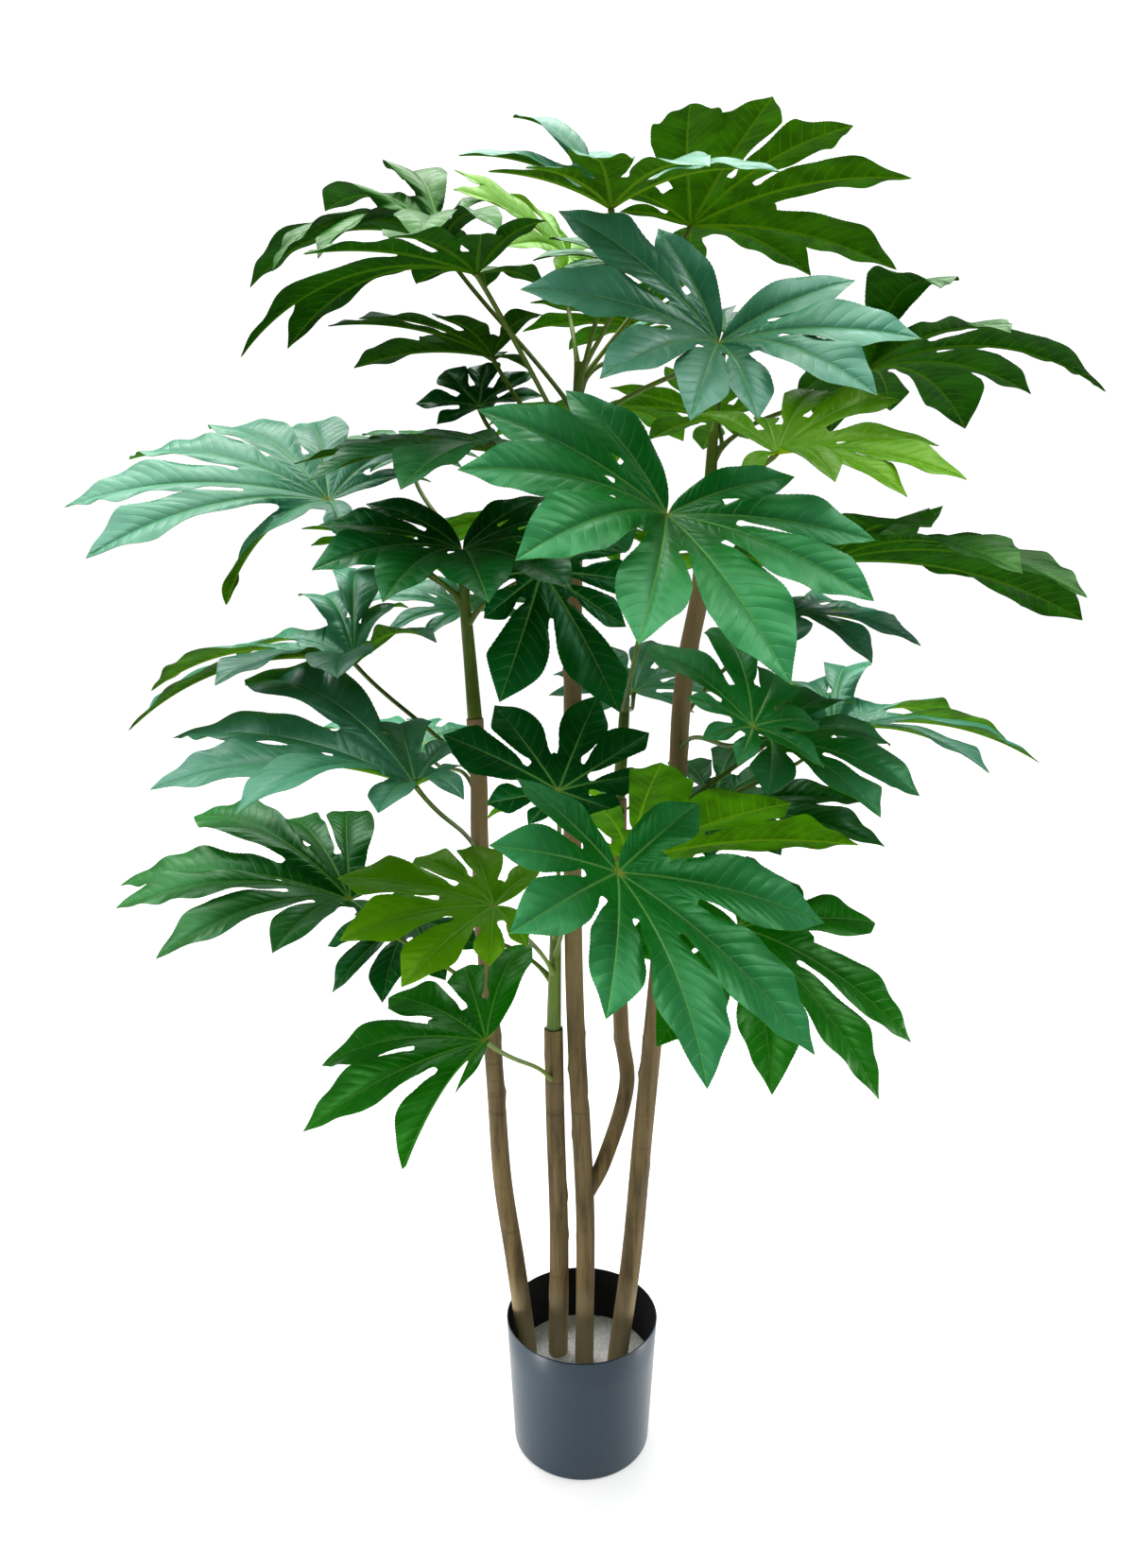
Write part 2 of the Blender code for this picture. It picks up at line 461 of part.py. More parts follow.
def lobes_of(length, count, rise, fall, changes, seed):
    """The lobes of one blade, the outer ones shorter, each a little different."""
    draw = random.Random(seed)

    def varied(most):
        return draw.uniform(-most, most)

    spread = changes.get("spread", SPREAD)
    gap = spread / (count - 1)
    made = []
    for i in range(count):
        angle = gap * i - spread / 2
        own = changes.get(i, {})
        outer = OUTER_SHORTER * (abs(angle) * 2 / SPREAD) ** OUTER_POWER
        long = length * (1 - outer) * (1 + varied(LENGTH_VARIES))
        up = rise + varied(RISE_VARIES) + own.get("rise", 0)
        down = fall + varied(FALL_VARIES) + own.get("fall", 0)
        sway = varied(SWAY_VARIES) + own.get("sway", 0)
        twist = varied(TWIST_VARIES) + own.get("twist", 0)
        angle += varied(ANGLE_VARIES) + own.get("turn", 0)
        wide = changes.get("wide", 1) * own.get("wide", 1)
        made.append(Lobe(long * own.get("long", 1), wide, angle, gap, up, down, sway, twist))
    for one, other in zip(made[:-1], made[1:]):
        sinus = SINUS * (one.length + other.length) / 2 * (1 + varied(SINUS_VARIES))
        sinus = min(sinus, DEEPEST_SINUS * min(one.length, other.length))
        one.half_gaps = [one.half_gaps[0], (other.angle - one.angle) / 2]
        other.half_gaps = [(other.angle - one.angle) / 2, other.half_gaps[1]]
        one.sinuses = [one.sinuses[0], sinus]
        other.sinuses = [sinus, other.sinuses[1]]
    return made


def blade_sheet(lobes, rows):
    """The blade as one sheet of triangles, in the leaf's own axes, with the hub at its origin."""
    points = [np.zeros(3)]
    faces = []

    def add(point):
        points.append(point)
        return len(points) - 1

    webs = []
    for one, other in zip(lobes[:-1], lobes[1:]):
        webs.append(add((one.notch(1) + other.notch(0)) / 2))
    for i, lobe in enumerate(lobes):
        middle = [0, add(lobe.point(WEB_FOLD * lobe.length, 0))]
        middle += [add(lobe.point((row - CREASE_LAG) * lobe.length, 0)) for row in rows]
        tip = add(lobe.point(lobe.length, 0))
        for which, side in ((0, -1), (1, 1)):
            free = (i == 0 and side < 0) or (i == len(lobes) - 1 and side > 0)
            if free:
                root = WEB_FOLD * lobe.length
                edge = [add(lobe.point(root, side * lobe.margin(root, which, True)))]
            else:
                edge = [webs[i - 1] if side < 0 else webs[i]]
            edge += [add(lobe.point(row * lobe.length, side * lobe.margin(row * lobe.length, which, free)))
                     for row in rows]
            strip = [(0, middle[1], edge[0])]
            for k in range(len(rows)):
                strip.append((middle[k + 1], middle[k + 2], edge[k + 1]))
                strip.append((middle[k + 1], edge[k + 1], edge[k]))
            strip.append((middle[-1], tip, edge[-1]))
            faces += strip if side > 0 else [face[::-1] for face in strip]
    return np.array(points), faces


def blade(name, finish, hub, axes, lobes, rows):
    """A blade of even thickness below its upper side."""
    points, faces = blade_sheet(lobes, rows)
    made = mesh_object(name, hub + points @ axes, faces, finish)
    thick = made.modifiers.new("thickness", "SOLIDIFY")
    thick.thickness = BLADE
    thick.offset = -1
    apply_modifiers(made)
    return made


def stalk_rings(start, hub, axes, leave, plugged):
    """The rings of a leaf's stalk. A plugged one runs through the blade, another ends just under it."""
    end = hub + axes[2] * (STALK_PROUD if plugged else -BLADE - 2 * GAP)
    away = unit(end - start)
    if leave is None:
        flat = unit(np.array([away[0], away[1], 0.0]))
        leave = LEAVE_OUT * flat + LEAVE_UP * UP
    leave = unit(np.array(leave, float))
    arrive = unit(unit(ARRIVE_ALONG * axes[0] + ARRIVE_UP * axes[2]) + ARRIVE_STRAIGHT * away)
    if arrive @ axes[2] < ARRIVE_LEAST:
        arrive = unit(arrive + (ARRIVE_LEAST - arrive @ axes[2]) * axes[2])
    path = bow(start, leave, arrive, end, STALK_STEPS)
    radii = [STALK_PLUG_RADIUS if plugged else STALK_ROOT_RADIUS] + [STALK_RADIUS] * STALK_STEPS
    return tube_rings(path, radii, STALK_SIDES, last_normal=axes[2])


def socket_cutter(name, rings, finish):
    """The first stretch of a plugged stalk, larger by the gap all round."""
    grown = []
    for ring in rings[:2]:
        centre = sum(ring) / len(ring)
        radius = np.linalg.norm(ring[0] - centre)
        share = 1 + SLACK / math.cos(math.pi / len(ring)) / radius
        grown.append([centre + (point - centre) * share for point in ring])
    back = unit(sum(rings[0]) - sum(rings[1])) * SLACK
    grown[0] = [point + back for point in grown[0]]
    return tube(name, grown, finish)


def pot():
    finish = material("pot_plastic", (0.035, 0.050, 0.070), 0.35)
    rim = POT_RIM_RADIUS
    base = POT_BASE_RADIUS
    profile = [(0, 0), (base - POT_EDGE, 0), (base - 0.3 * POT_EDGE, 0.3 * POT_EDGE), (base, POT_EDGE),
               (rim, POT_HEIGHT - POT_LIP), (rim - POT_LIP / 2, POT_HEIGHT), (rim - POT_WALL, POT_HEIGHT),
               (base - POT_WALL, POT_FLOOR + POT_CORNER), (base - POT_WALL - POT_CORNER, POT_FLOOR),
               (0, POT_FLOOR)]
    return turned("pot", profile, POT_SIDES, finish)


def pot_inside(height):
    """The pot's inner radius at a height."""
    low = POT_FLOOR + POT_CORNER
    share = (height - low) / (POT_HEIGHT - low)
    return POT_BASE_RADIUS - POT_WALL + share * (POT_RIM_RADIUS - POT_BASE_RADIUS)


def fill(cutters):
    """The cast fill, with a blind hole for each trunk."""
    finish = material("fill_plaster", (0.62, 0.61, 0.60), 0.85)
    low = POT_FLOOR + GAP
    edge = FILL_TOP - FILL_EDGE
    slack = GAP / math.cos(math.pi / POT_SIDES)
    corner = POT_FLOOR + POT_CORNER
    profile = [(0, low), (pot_inside(corner) - POT_CORNER - slack, low),
               (pot_inside(corner) - slack, corner + GAP), (pot_inside(edge) - slack, edge),
               (pot_inside(FILL_TOP) - FILL_EDGE_WIDTH - slack, FILL_TOP), (0, FILL_TOP)]
    made = turned("fill", profile, POT_SIDES, finish)
    combine(made, cutters, "DIFFERENCE")
    return made


def trunk_hole(name, path, radius, finish):
    """What the fill leaves open for a trunk's foot."""
    foot = smooth_path(path, 3)[:6]
    start = foot[0] - unit(foot[1] - foot[0]) * SLACK
    grown = radius + 1.5 * SLACK / math.cos(math.pi / TRUNK_SIDES)
    return tube(name, tube_rings(np.vstack([start, foot[1:]]), [grown] * len(foot), TRUNK_SIDES), finish)


def stem_rings(path, low, high, sides, steps):
    """The rings of a trunk, whose top is level."""
    line = smooth_path(path, steps)
    return tube_rings(line, np.linspace(low, high, len(line)), sides, last_normal=UP)


def shoot_rings(path, low, high):
    """A shoot's rings: a spigot in the trunk's socket, a shoulder, and the stem above it."""
    line = smooth_path(path, 2) + UP * GAP
    radii = np.linspace(low, high, len(line))
    spigot = np.array([line[0] - UP * SPIGOT_DEPTH, line[0]])
    rings = tube_rings(spigot, [SPIGOT_RADIUS] * 2, SHOOT_SIDES)
    return rings + tube_rings(line, radii, SHOOT_SIDES, first_normal=UP)


def shoot_socket(name, path, finish):
    """The hole in a trunk's top, larger than the spigot by the gap all round."""
    top = np.array(path[0], float)
    ends = np.array([top - UP * SPIGOT_DEPTH, top + UP * SPIGOT_DEPTH])
    grown = SPIGOT_RADIUS + SLACK / math.cos(math.pi / SHOOT_SIDES)
    return tube(name, tube_rings(ends, [grown] * 2, SHOOT_SIDES), finish)


def carriers():
    """The middle line of each stem that carries leaves."""
    lines = {name: row[0] for name, row in TRUNKS.items()}
    lines["fork"] = FORK[0]
    lines.update({name: row[1] for name, row in SHOOTS.items()})
    return lines


def build():
    for old in list(bpy.data.objects):
        bpy.data.objects.remove(old)
    bark = material("trunk_bark", (0.11, 0.06, 0.03), 0.75)
    green = material("stem_green", (0.10, 0.20, 0.02), 0.45)
    lines = carriers()
    sockets = {name: [] for name in TRUNKS}
    stalks = {name: [] for name in SHOOTS}
    for seed, row in enumerate(LEAVES, start=1):
        name, tone, carrier, height, hub, length, heading, right, back, count, rise, fall, changes = row
        axes = leaf_axes(heading, right, back)
        hub = np.array(hub, float)
        line = lines[carrier]
        plugged = carrier not in SHOOTS
        finish = material("leaf_" + tone, TONES[tone], 0.4)
        lobes = lobes_of(length, count, rise, fall, changes, seed)
        rows = SMALL_ROWS if length <= SMALL_LEAF else LARGE_ROWS
        made = blade(name, finish, hub, axes, lobes, rows)
        rings = stalk_rings(stem_at(line, height), hub, axes, changes.get("leave"), plugged)
        if plugged:
            combine(made, [tube(name + "_stalk", rings, finish)], "UNION")
            trunk = "trunk_centre" if carrier == "fork" else carrier
            sockets[trunk].append(socket_cutter(name + "_socket", rings, bark))
        else:
            stalks[carrier].append(tube(name + "_stalk", rings, green))
    for name, (trunk, path, low, high) in SHOOTS.items():
        sockets[trunk].append(shoot_socket(name + "_socket", path, bark))
        made = tube(name, shoot_rings(path, low, high), green)
        combine(made, stalks[name], "UNION", "MANIFOLD")
    holes = []
    for name, (path, low, high) in TRUNKS.items():
        made = tube(name, stem_rings(path, low, high, TRUNK_SIDES, 2), bark)
        if name == "trunk_centre":
            combine(made, [tube("fork", stem_rings(*FORK, TRUNK_SIDES, 2), bark)], "UNION")
        combine(made, sockets[name], "DIFFERENCE")
        holes.append(trunk_hole(name + "_hole", path, low, bark))
    pot()
    fill(holes)


build()
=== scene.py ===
"""Potted fatsia, an artificial tree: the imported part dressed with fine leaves, stems, pot and fill.

Units are metres in the part's own frame: +Z is up, +X is to the right of the photograph and +Y is away
from its viewer. The leaves and stems follow the same rows and the same formula as the part's solids.
"""
import math
import random
from collections import namedtuple

import bpy
import numpy as np
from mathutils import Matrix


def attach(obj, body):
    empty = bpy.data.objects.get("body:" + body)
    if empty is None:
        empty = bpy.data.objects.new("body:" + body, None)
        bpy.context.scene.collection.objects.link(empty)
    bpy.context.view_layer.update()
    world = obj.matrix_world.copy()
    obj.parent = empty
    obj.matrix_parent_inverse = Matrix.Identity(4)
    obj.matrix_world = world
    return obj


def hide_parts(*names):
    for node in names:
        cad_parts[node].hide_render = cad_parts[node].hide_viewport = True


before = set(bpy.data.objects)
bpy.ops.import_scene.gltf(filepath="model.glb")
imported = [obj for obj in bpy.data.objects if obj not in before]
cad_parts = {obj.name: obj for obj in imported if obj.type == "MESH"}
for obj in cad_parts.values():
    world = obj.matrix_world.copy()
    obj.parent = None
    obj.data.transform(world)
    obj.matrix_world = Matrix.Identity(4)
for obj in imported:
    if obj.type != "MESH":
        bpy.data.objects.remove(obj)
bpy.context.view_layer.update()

UP = np.array([0.0, 0.0, 1.0])

# Blades: angles in degrees, and notches and widths as shares of a lobe's length
SPREAD = 250.0
SINUS = 0.34
DEEPEST_SINUS = 0.55
HALF_WIDTH = 0.152
USUAL_GAP = 31.25
OUTER_SHORTER = 0.36
OUTER_POWER = 2.2
FOLD = 16.0
FOLD_AT_HUB = 0.35
FOLD_OPENS = 1.3
FOLD_FLATTENS = 0.4
LOBE_STATIONS = (0, .10, .30, .48, .62, .78, .91, 1)
LOBE_WIDTHS = (.60, .66, .93, 1.0, .93, .60, .24, 0)
SIDE_STATIONS = (0, .06, .20, .38, .62, .80, .93, 1)
SIDE_WIDTHS = (0, .28, .66, .93, 1.0, .62, .22, 0)
NOTCH = 0.0042
SLOT = 0.0016
EDGE_STEPS = 600

# How far each lobe varies either way: its length and notch as shares, the rest in degrees
LENGTH_VARIES = 0.04
SINUS_VARIES = 0.15
RISE_VARIES = 4.0
FALL_VARIES = 7.0
SWAY_VARIES = 7.0
TWIST_VARIES = 12.0
ANGLE_VARIES = 1.5

# Rows and columns of the blades' sheets
VEIN_SPACING = 0.0125
ROWS_PER_VEIN = 3
WEB_SHARE = 0.30
LEAST_WEB_VEINS = 2
LEAST_FREE_ROWS = 6
NEAR_ROWS = (0.05, 0.16, 0.42)
LAST_ROW = 0.985
SLANT = 0.8
COLUMNS = (0.30, 0.55, 0.80)
COLUMN_CURVE = 1.2
LEAST_WIDTH = 0.0004
PULL_FADES = 0.10

# Thickness and relief of the blades' sheets
RIB = 0.0013
RIB_NARROWS = 0.6
WIDEST_RIB = 0.18
RIB_DEPTH = 0.0013
RIB_THINS = 0.75
BLADE_EDGE = 0.0004
BLADE_MIDDLE = 0.0006
GROOVE = 0.0003
GROOVE_STARTS = 0.02
GROOVE_FADES = 0.6
PUCKER = 0.0006
PUCKER_STARTS = 0.02
CROWN = 0.05
WAVE = 0.0022
WAVE_STARTS = 0.03
WAVE_LENGTHS = (0.045, 0.075)
FULL_RELIEF_WIDTH = 0.024
TOOTH = 0.0005
TOOTH_SHARE = 0.08
TOOTH_AT = 0.6
SHARP_ANGLE = 50

# Stalks: radii and lengths, then the shares that steer their curves
STALK_SIDES = 10
STALK_STEPS = 26
STALK_RADIUS = 0.0023
STALK_ROOT_RADIUS = 0.0046
STALK_PLUG_RADIUS = 0.0034
STALK_END_RADIUS = 0.0031
STALK_STOPS_BELOW = 0.0010
SHEATH_LENGTH = 0.016
HEAD_LENGTH = 0.006
STALK_RIDGES = 3
RIDGE_HEIGHT = 0.05
LEAVE_OUT = 0.65
LEAVE_UP = 0.76
ARRIVE_ALONG = 0.55
ARRIVE_UP = 0.84
ARRIVE_STRAIGHT = 0.8
ARRIVE_LEAST = 0.4
BOW_START = 0.38
BOW_END = 0.34

# Trunks and shoots
TRUNK_SIDES = 22
TRUNK_STEPS = 16
TRUNK_FOOT = 0.088
SHOOT_SIDES = 16
SHOOT_STEPS = 10
OVAL_LOBES = (2, 3, 5)
OVAL_SHARE = 0.018
KNOT_SPACING = 0.055
KNOT_LENGTH = 0.006
KNOT_ANGLE = 0.5
KNOT_HEIGHTS = (0.0018, 0.0011, -0.0008)

# Pot and fill. The lip is given as steps inward and down from the rim's outer corner.
POT_HEIGHT = 0.154
POT_RIM_RADIUS = 0.085
POT_BASE_RADIUS = 0.077
POT_SLOPE = (POT_RIM_RADIUS - POT_BASE_RADIUS) / POT_HEIGHT
POT_WALL = 0.002
POT_FLOOR = 0.003
POT_CORNER = 0.003
POT_FOOT = 0.0045
POT_RECESS = 0.0012
POT_FOOT_RING = (0.012, 0.010)
POT_LIP = ((.0001, .0009), (.0004, .0003), (.0010, 0), (.0015, 0), (.0019, .0004), (.0020, .0012))
POT_SIDES = 144
FILL_TOP = 0.094
FILL_GAP = 0.0004
FILL_LOW_GAP = 0.0006
FILL_RINGS = 40
FILL_SIDES = 120
FILL_WAVES = 60
FILL_WAVE_HEIGHT = 0.0012
FILL_WAVE_SCALES = (60, 130, 300)
FILL_USUAL_SCALE = 9
COLLAR_HEIGHT = 0.0030
COLLAR_WIDTH = 0.006
FILL_LIMITS = (-0.004, 0.006)

# The middle line of each stem, from its foot up, and its radius at the foot and at the top.
TRUNKS = {
    "trunk_left": ([(-.063, .012, TRUNK_FOOT), (-.063, .012, .104), (-.075, .008, .213), (-.088, .004, .319),
                    (-.094, 0, .432), (-.100, 0, .541), (-.107, 0, .697), (-.107, 0, .768), (-.110, 0, .836)],
                   .0108, .0088),
    "trunk_short": ([(-.027, .011, TRUNK_FOOT), (-.027, .011, .104), (-.026, .004, .250), (-.029, 0, .380),
                     (-.031, 0, .500)], .0110, .0100),
    "trunk_centre": ([(.003, -.004, TRUNK_FOOT), (.003, -.004, .100), (.004, -.002, .260), (-.001, 0, .376),
                      (-.007, 0, .487), (-.010, 0, .594), (-.011, 0, .750), (-.011, .003, .884),
                      (-.010, .008, 1.000)], .0108, .0086),
    "trunk_right": ([(.041, -.004, TRUNK_FOOT), (.041, -.004, .100), (.055, -.002, .225), (.066, 0, .376),
                     (.075, 0, .487), (.083, 0, .594), (.095, 0, .748), (.098, 0, .836), (.103, 0, .894),
                     (.113, 0, .950), (.117, 0, .985)], .0114, .0090),
}
FORK = ([(.003, 0, .300), (.025, .008, .342), (.049, .022, .421), (.043, .024, .487), (.039, .022, .594),
         (.037, .020, .748)], .0085, .0084)
FORK_SEED = 9
SHOOTS = {
    "shoot_left": ([(-.110, 0, .836), (-.114, .004, .890), (-.118, .002, .950), (-.119, 0, .990)],
                   .0074, .0048),
    "shoot_short": ([(-.031, 0, .500), (-.030, 0, .550), (-.029, 0, .600), (-.029, 0, .620)], .0080, .0052),
    "shoot_centre": ([(-.010, .008, 1.000), (-.008, .010, 1.060), (-.006, .010, 1.140), (-.005, .010, 1.180)],
                     .0072, .0048),
    "shoot_fork": ([(.037, .020, .748), (.041, .018, .817), (.043, .018, .855)], .0070, .0048),
    "shoot_right": ([(.117, 0, .985), (.121, 0, 1.040), (.123, 0, 1.086), (.124, 0, 1.115)], .0074, .0048),
}
STEM_LINES = {name: row[0] for name, row in {**TRUNKS, "fork": FORK, **SHOOTS}.items()}

# One row for each leaf: name, the tone that paints its light and shade, the stem that carries it and the
# height there, the middle of the blade, the length of its middle lobe, the compass heading of that lobe (0 is
# +X, 90 is
# +Y), how far the upper side leans to +X and to +Y, the number of lobes, how steeply the lobes rise at the
# middle and fall at the tips, and the leaf's changes. Those are a wider blade, another spread of the lobes or
# another way out of the stem, and what single lobes do otherwise, by their number from the leaf's right:
# degrees to turn, rise, fall, twist or sway, and shares of the usual length (long) or width (broad).
Leaf = namedtuple("Leaf", "name tone carrier height hub length heading right back count rise fall changes")
LEAVES = [
    ("leaf_centre_01", "blue", "shoot_centre", 1.15, (.020, -.120, 1.285), .170, -125, 0, -17, 9, 32, 5,
     {"rise": {0: 18, 1: 25, 2: 10}, "long": {2: .85, 3: .65, 4: .7, 7: 1.15}}),
    ("leaf_centre_02", "fresh", "shoot_centre", 1.16, (.105, .070, 1.315), .220, -42, 0, 14, 9, 16, 15,
     {"turn": {2: 4, 4: -10, 5: -15, 6: -10, 7: -15}, "rise": {5: 4, 6: -8},
      "long": {0: .5, 1: .55, 2: 1.05, 3: .93, 4: .93, 6: 1.1}}),
    ("leaf_centre_03", "olive", "shoot_centre", 1.13, (-.145, .110, 1.305), .200, 175, 0, -4, 9, 30, 42,
     {"wide": 1.2, "rise": {0: 35, 1: 20, 2: 40, 3: 20, 8: 10},
      "fall": {0: -40, 2: -35, 3: -25, 5: 15, 6: 10}, "long": {0: .85, 1: .5, 4: 1.12}}),
    ("leaf_centre_04", "olive", "shoot_centre", 1.09, (-.095, -.090, 1.24), .240, 185, 0, -6, 9, 18, 50,
     {"wide": 1.1, "rise": {8: 20}, "fall": {0: -30, 1: -30, 2: -30, 5: -45, 6: -45, 7: -45, 8: -45},
      "long": {0: .7, 1: .5, 2: .5, 3: .93, 4: .93, 5: .7, 6: .7, 7: .6, 8: .7}}),
    ("leaf_centre_05", "lime", "shoot_centre", 1.165, (-.015, .160, 1.305), .150, 150, 38, -25, 8, 10, 20,
     {"leave": (-.1, .25, .95)}),
    ("leaf_centre_06", "blue", "shoot_centre", 1.1, (.110, -.140, 1.175), .205, -106, 5, -47, 9, 34, 0,
     {"wide": 1.08, "turn": {1: -5, 3: 10, 4: 12, 5: 2, 6: 5, 8: 15}, "rise": {3: 5, 6: 5},
      "long": {0: .88, 1: 1.05, 2: .92, 3: .75, 4: .78, 5: .62, 6: .9}}),
    ("leaf_centre_07", "dark", "shoot_centre", 1.06, (-.095, .120, 1.2), .170, 185, 6, 2, 8, 20, 15,
     {"wide": 1.15, "turn": {5: -15, 6: -28}, "rise": {3: -12, 6: 5, 7: 40}, "fall": {4: 5},
      "long": {0: .6, 1: .7, 2: .85, 3: .95, 4: 1.08, 6: .85, 7: .8}}),
    ("leaf_centre_08", "green", "shoot_centre", 1.15, (.065, .200, 1.24), .140, 185, 0, 12, 8, 15, 12, {}),
    ("leaf_right_01", "green", "shoot_right", 1.06, (.145, .150, 1.14), .130, 180, 8, 15, 8, 12, 5, {}),
    ("leaf_centre_09", "dark", "shoot_centre", 1.05, (-.110, .125, 1.150), .080, 80, -10, -38, 7, 18, 10,
     {"wide": 1.4}),
    ("leaf_centre_10", "dark", "shoot_centre", 1.02, (-.065, -.075, 1.09), .205, 182, -2, -8, 9, 15, 20,
     {"wide": 1.2, "long": {0: .5, 1: .7, 3: .9, 7: .8, 8: .6}}),
    ("leaf_left_01", "blue", "shoot_left", .950, (-.245, -.020, 1.05), .255, 162, 4, -26, 9, 22, 25,
     {"wide": 1.1, "turn": {1: -8, 6: -10, 7: -22}, "rise": {6: 3}, "fall": {1: 12, 3: 5, 7: 45},
      "twist": {7: 75}, "long": {0: .72, 2: .85, 3: .95, 4: .92, 7: .78, 8: .5}, "broad": {7: 1.35}}),
    ("leaf_left_02", "dark", "shoot_left", .975, (-.110, -.110, 1.005), .165, -82, 2, -28, 9, 30, 5,
     {"wide": 1.2}),
    ("leaf_fork_01", "green", "shoot_fork", .840, (.065, -.190, 1.035), .215, -98, 11, -46, 9, 26, 6,
     {"wide": 1.08, "turn": {2: -5, 4: 9, 5: 8, 6: 12, 8: 8}, "rise": {2: 12, 3: 18},
      "long": {0: 1.08, 2: .95, 3: .86, 4: .85, 5: .95, 6: .95, 8: .82}}),
    ("leaf_right_02", "olive", "shoot_right", 1.09, (.285, .060, 1.18), .235, 0, 0, 8, 9, 20, 30,
     {"wide": 1.4, "turn": {1: 6, 4: 4, 5: 8}, "rise": {1: 26}, "fall": {3: 8},
      "long": {2: .85, 4: .75, 5: .9, 6: .7, 8: .7}}),
    ("leaf_right_03", "lime", "shoot_right", 1.045, (.170, -.090, 1.09), .180, 0, 0, -26, 9, 20, 18,
     {"turn": {1: 18, 2: 8, 5: 8, 6: 7}, "rise": {1: 15, 2: 10},
      "long": {0: .6, 1: .95, 2: .87, 3: .95, 4: .84, 5: .93, 6: .88, 7: .6}}),
    ("leaf_right_04", "olive", "shoot_right", 1.01, (.240, 0, .992), .240, 0, 7, 5, 9, 14, 22,
     {"wide": 1.4, "turn": {1: 18, 2: 5, 5: -12, 6: -8}, "rise": {1: 18, 2: 12, 3: 4, 5: 12, 6: 20},
      "twist": {1: 25, 2: 30, 3: 15, 4: -40, 5: -50, 6: -30}, "long": {3: 1.1, 4: 1.08}}),
    ("leaf_right_05", "blue", "trunk_right", .830, (.220, .100, .935), .145, -8, 6, -10, 8, 15, 25,
     {"wide": 1.2}),
    ("leaf_right_06", "green", "trunk_right", .735, (.185, -.030, .820), .160, -8, 8, -17, 8, 15, 25,
     {"wide": 1.4, "turn": {2: 10, 4: 12, 5: 5}, "rise": {5: 8}, "long": {0: .6, 1: .8, 7: .6}}),
    ("leaf_right_07", "blue", "trunk_right", .700, (.290, .160, .795), .210, 0, -2, 8, 9, 18, 30,
     {"wide": 1.1, "leave": (.45, -.3, .85), "turn": {2: 12, 6: 10}, "rise": {2: -4, 5: 8, 6: 45, 7: 40},
      "fall": {3: 6, 4: 4, 6: -10, 7: -10}, "twist": {3: -14, 4: -16, 5: -10},
      "long": {1: .7, 2: 1.12, 3: 1.1}}),
    ("leaf_right_08", "green", "trunk_right", .800, (.145, -.165, .855), .140, 130, 28, -33, 8, 10, 20,
     {"wide": 1.25, "turn": {0: -8, 3: -12, 4: -6, 5: -8},
      "long": {0: .9, 1: .8, 3: 1.12, 4: .95, 5: .5, 6: .5, 7: .6}}),
    ("leaf_short_01", "dark", "shoot_short", .600, (-.025, -.085, .780), .145, 100, 8, -62, 8, 10, 10,
     {"wide": 1.35, "turn": {2: -18, 3: -16, 4: 3, 5: -5},
      "long": {0: .7, 1: .7, 2: .78, 3: .7, 4: .72, 5: .92, 6: .6, 7: .5}}),
    ("leaf_short_02", "green", "shoot_short", .580, (.025, -.240, .745), .225, -66, 35, -35, 8, 20, 5,
     {"wide": 1.05, "turn": {1: 9, 2: 2, 3: 2, 4: -3, 5: -5, 7: 10}, "rise": {0: -10},
      "sway": {4: -8, 5: -12, 6: -8},
      "long": {0: .78, 1: .72, 2: .73, 3: .7, 4: .87, 5: 1.03, 6: 1.05, 7: .9}}),
    ("leaf_left_03", "blue", "trunk_left", .690, (-.155, -.130, .795), .250, 166, 0, -11, 9, 20, 20,
     {"wide": 1.1, "turn": {4: -3, 5: -5, 6: -5, 8: 18}, "rise": {3: 18, 4: 7, 5: 4, 6: 22, 7: 10, 8: 25},
      "long": {0: .35, 1: .5, 2: .8, 3: 1.08, 4: 1.03, 5: .93, 6: .85, 7: .5, 8: .55}}),
    ("leaf_left_04", "deep", "trunk_left", .530, (-.240, -.020, .650), .240, 175, 0, -8, 9, 18, 20,
     {"wide": 1.1, "turn": {1: 20, 2: 7, 5: -15, 6: -15, 7: -20},
      "rise": {1: 14, 2: 12, 3: 20, 4: 8, 5: 14, 6: 12, 7: 10},
      "long": {0: .6, 2: 1.05, 3: 1.05, 4: 1.05, 7: .75, 8: .6}}),
    ("leaf_short_03", "lime", "shoot_short", .560, (-.085, -.130, .680), .160, 178, -2, -23, 8, 15, 20,
     {"wide": 1.3, "turn": {1: 15, 2: 8, 6: 5},
      "long": {0: .7, 1: .82, 2: .8, 4: .93, 5: .87, 6: .55, 7: .6}}),
    ("leaf_short_04", "dark", "shoot_short", .550, (-.190, .080, .595), .120, 235, -18, -25, 8, 15, 25,
     {"wide": 1.2}),
    ("leaf_short_05", "fresh", "trunk_short", .435, (-.095, -.120, .540), .200, 176, -9, -16, 7, 15, 28,
     {"wide": 1.1, "spread": 200, "turn": {1: -6, 2: -10, 6: -30}, "rise": {0: 25, 1: 18},
      "long": {1: .7, 2: .83, 3: .9, 5: .87, 6: .45}}),
    ("leaf_right_09", "fresh", "trunk_right", .570, (.155, -.060, .635), .210, -46, 24, -25, 9, 15, 20,
     {"wide": 1.05, "turn": {2: -5, 3: -6, 5: -4, 6: 8, 7: 6}, "long": {6: .95, 7: .8}}),
    ("leaf_fork_02", "fresh", "fork", .620, (.045, -.080, .710), .200, -20, 0, 40, 8, 10, 12,
     {"wide": 1.3, "turn": {2: -20, 3: -8, 4: -15},
      "long": {0: .5, 1: .8, 2: 1.08, 3: .9, 4: 1.08, 5: .7, 6: .5, 7: .5}}),
    ("leaf_right_10", "dark", "trunk_right", .650, (.145, .090, .725), .180, 25, -8, -10, 9, 8, 20,
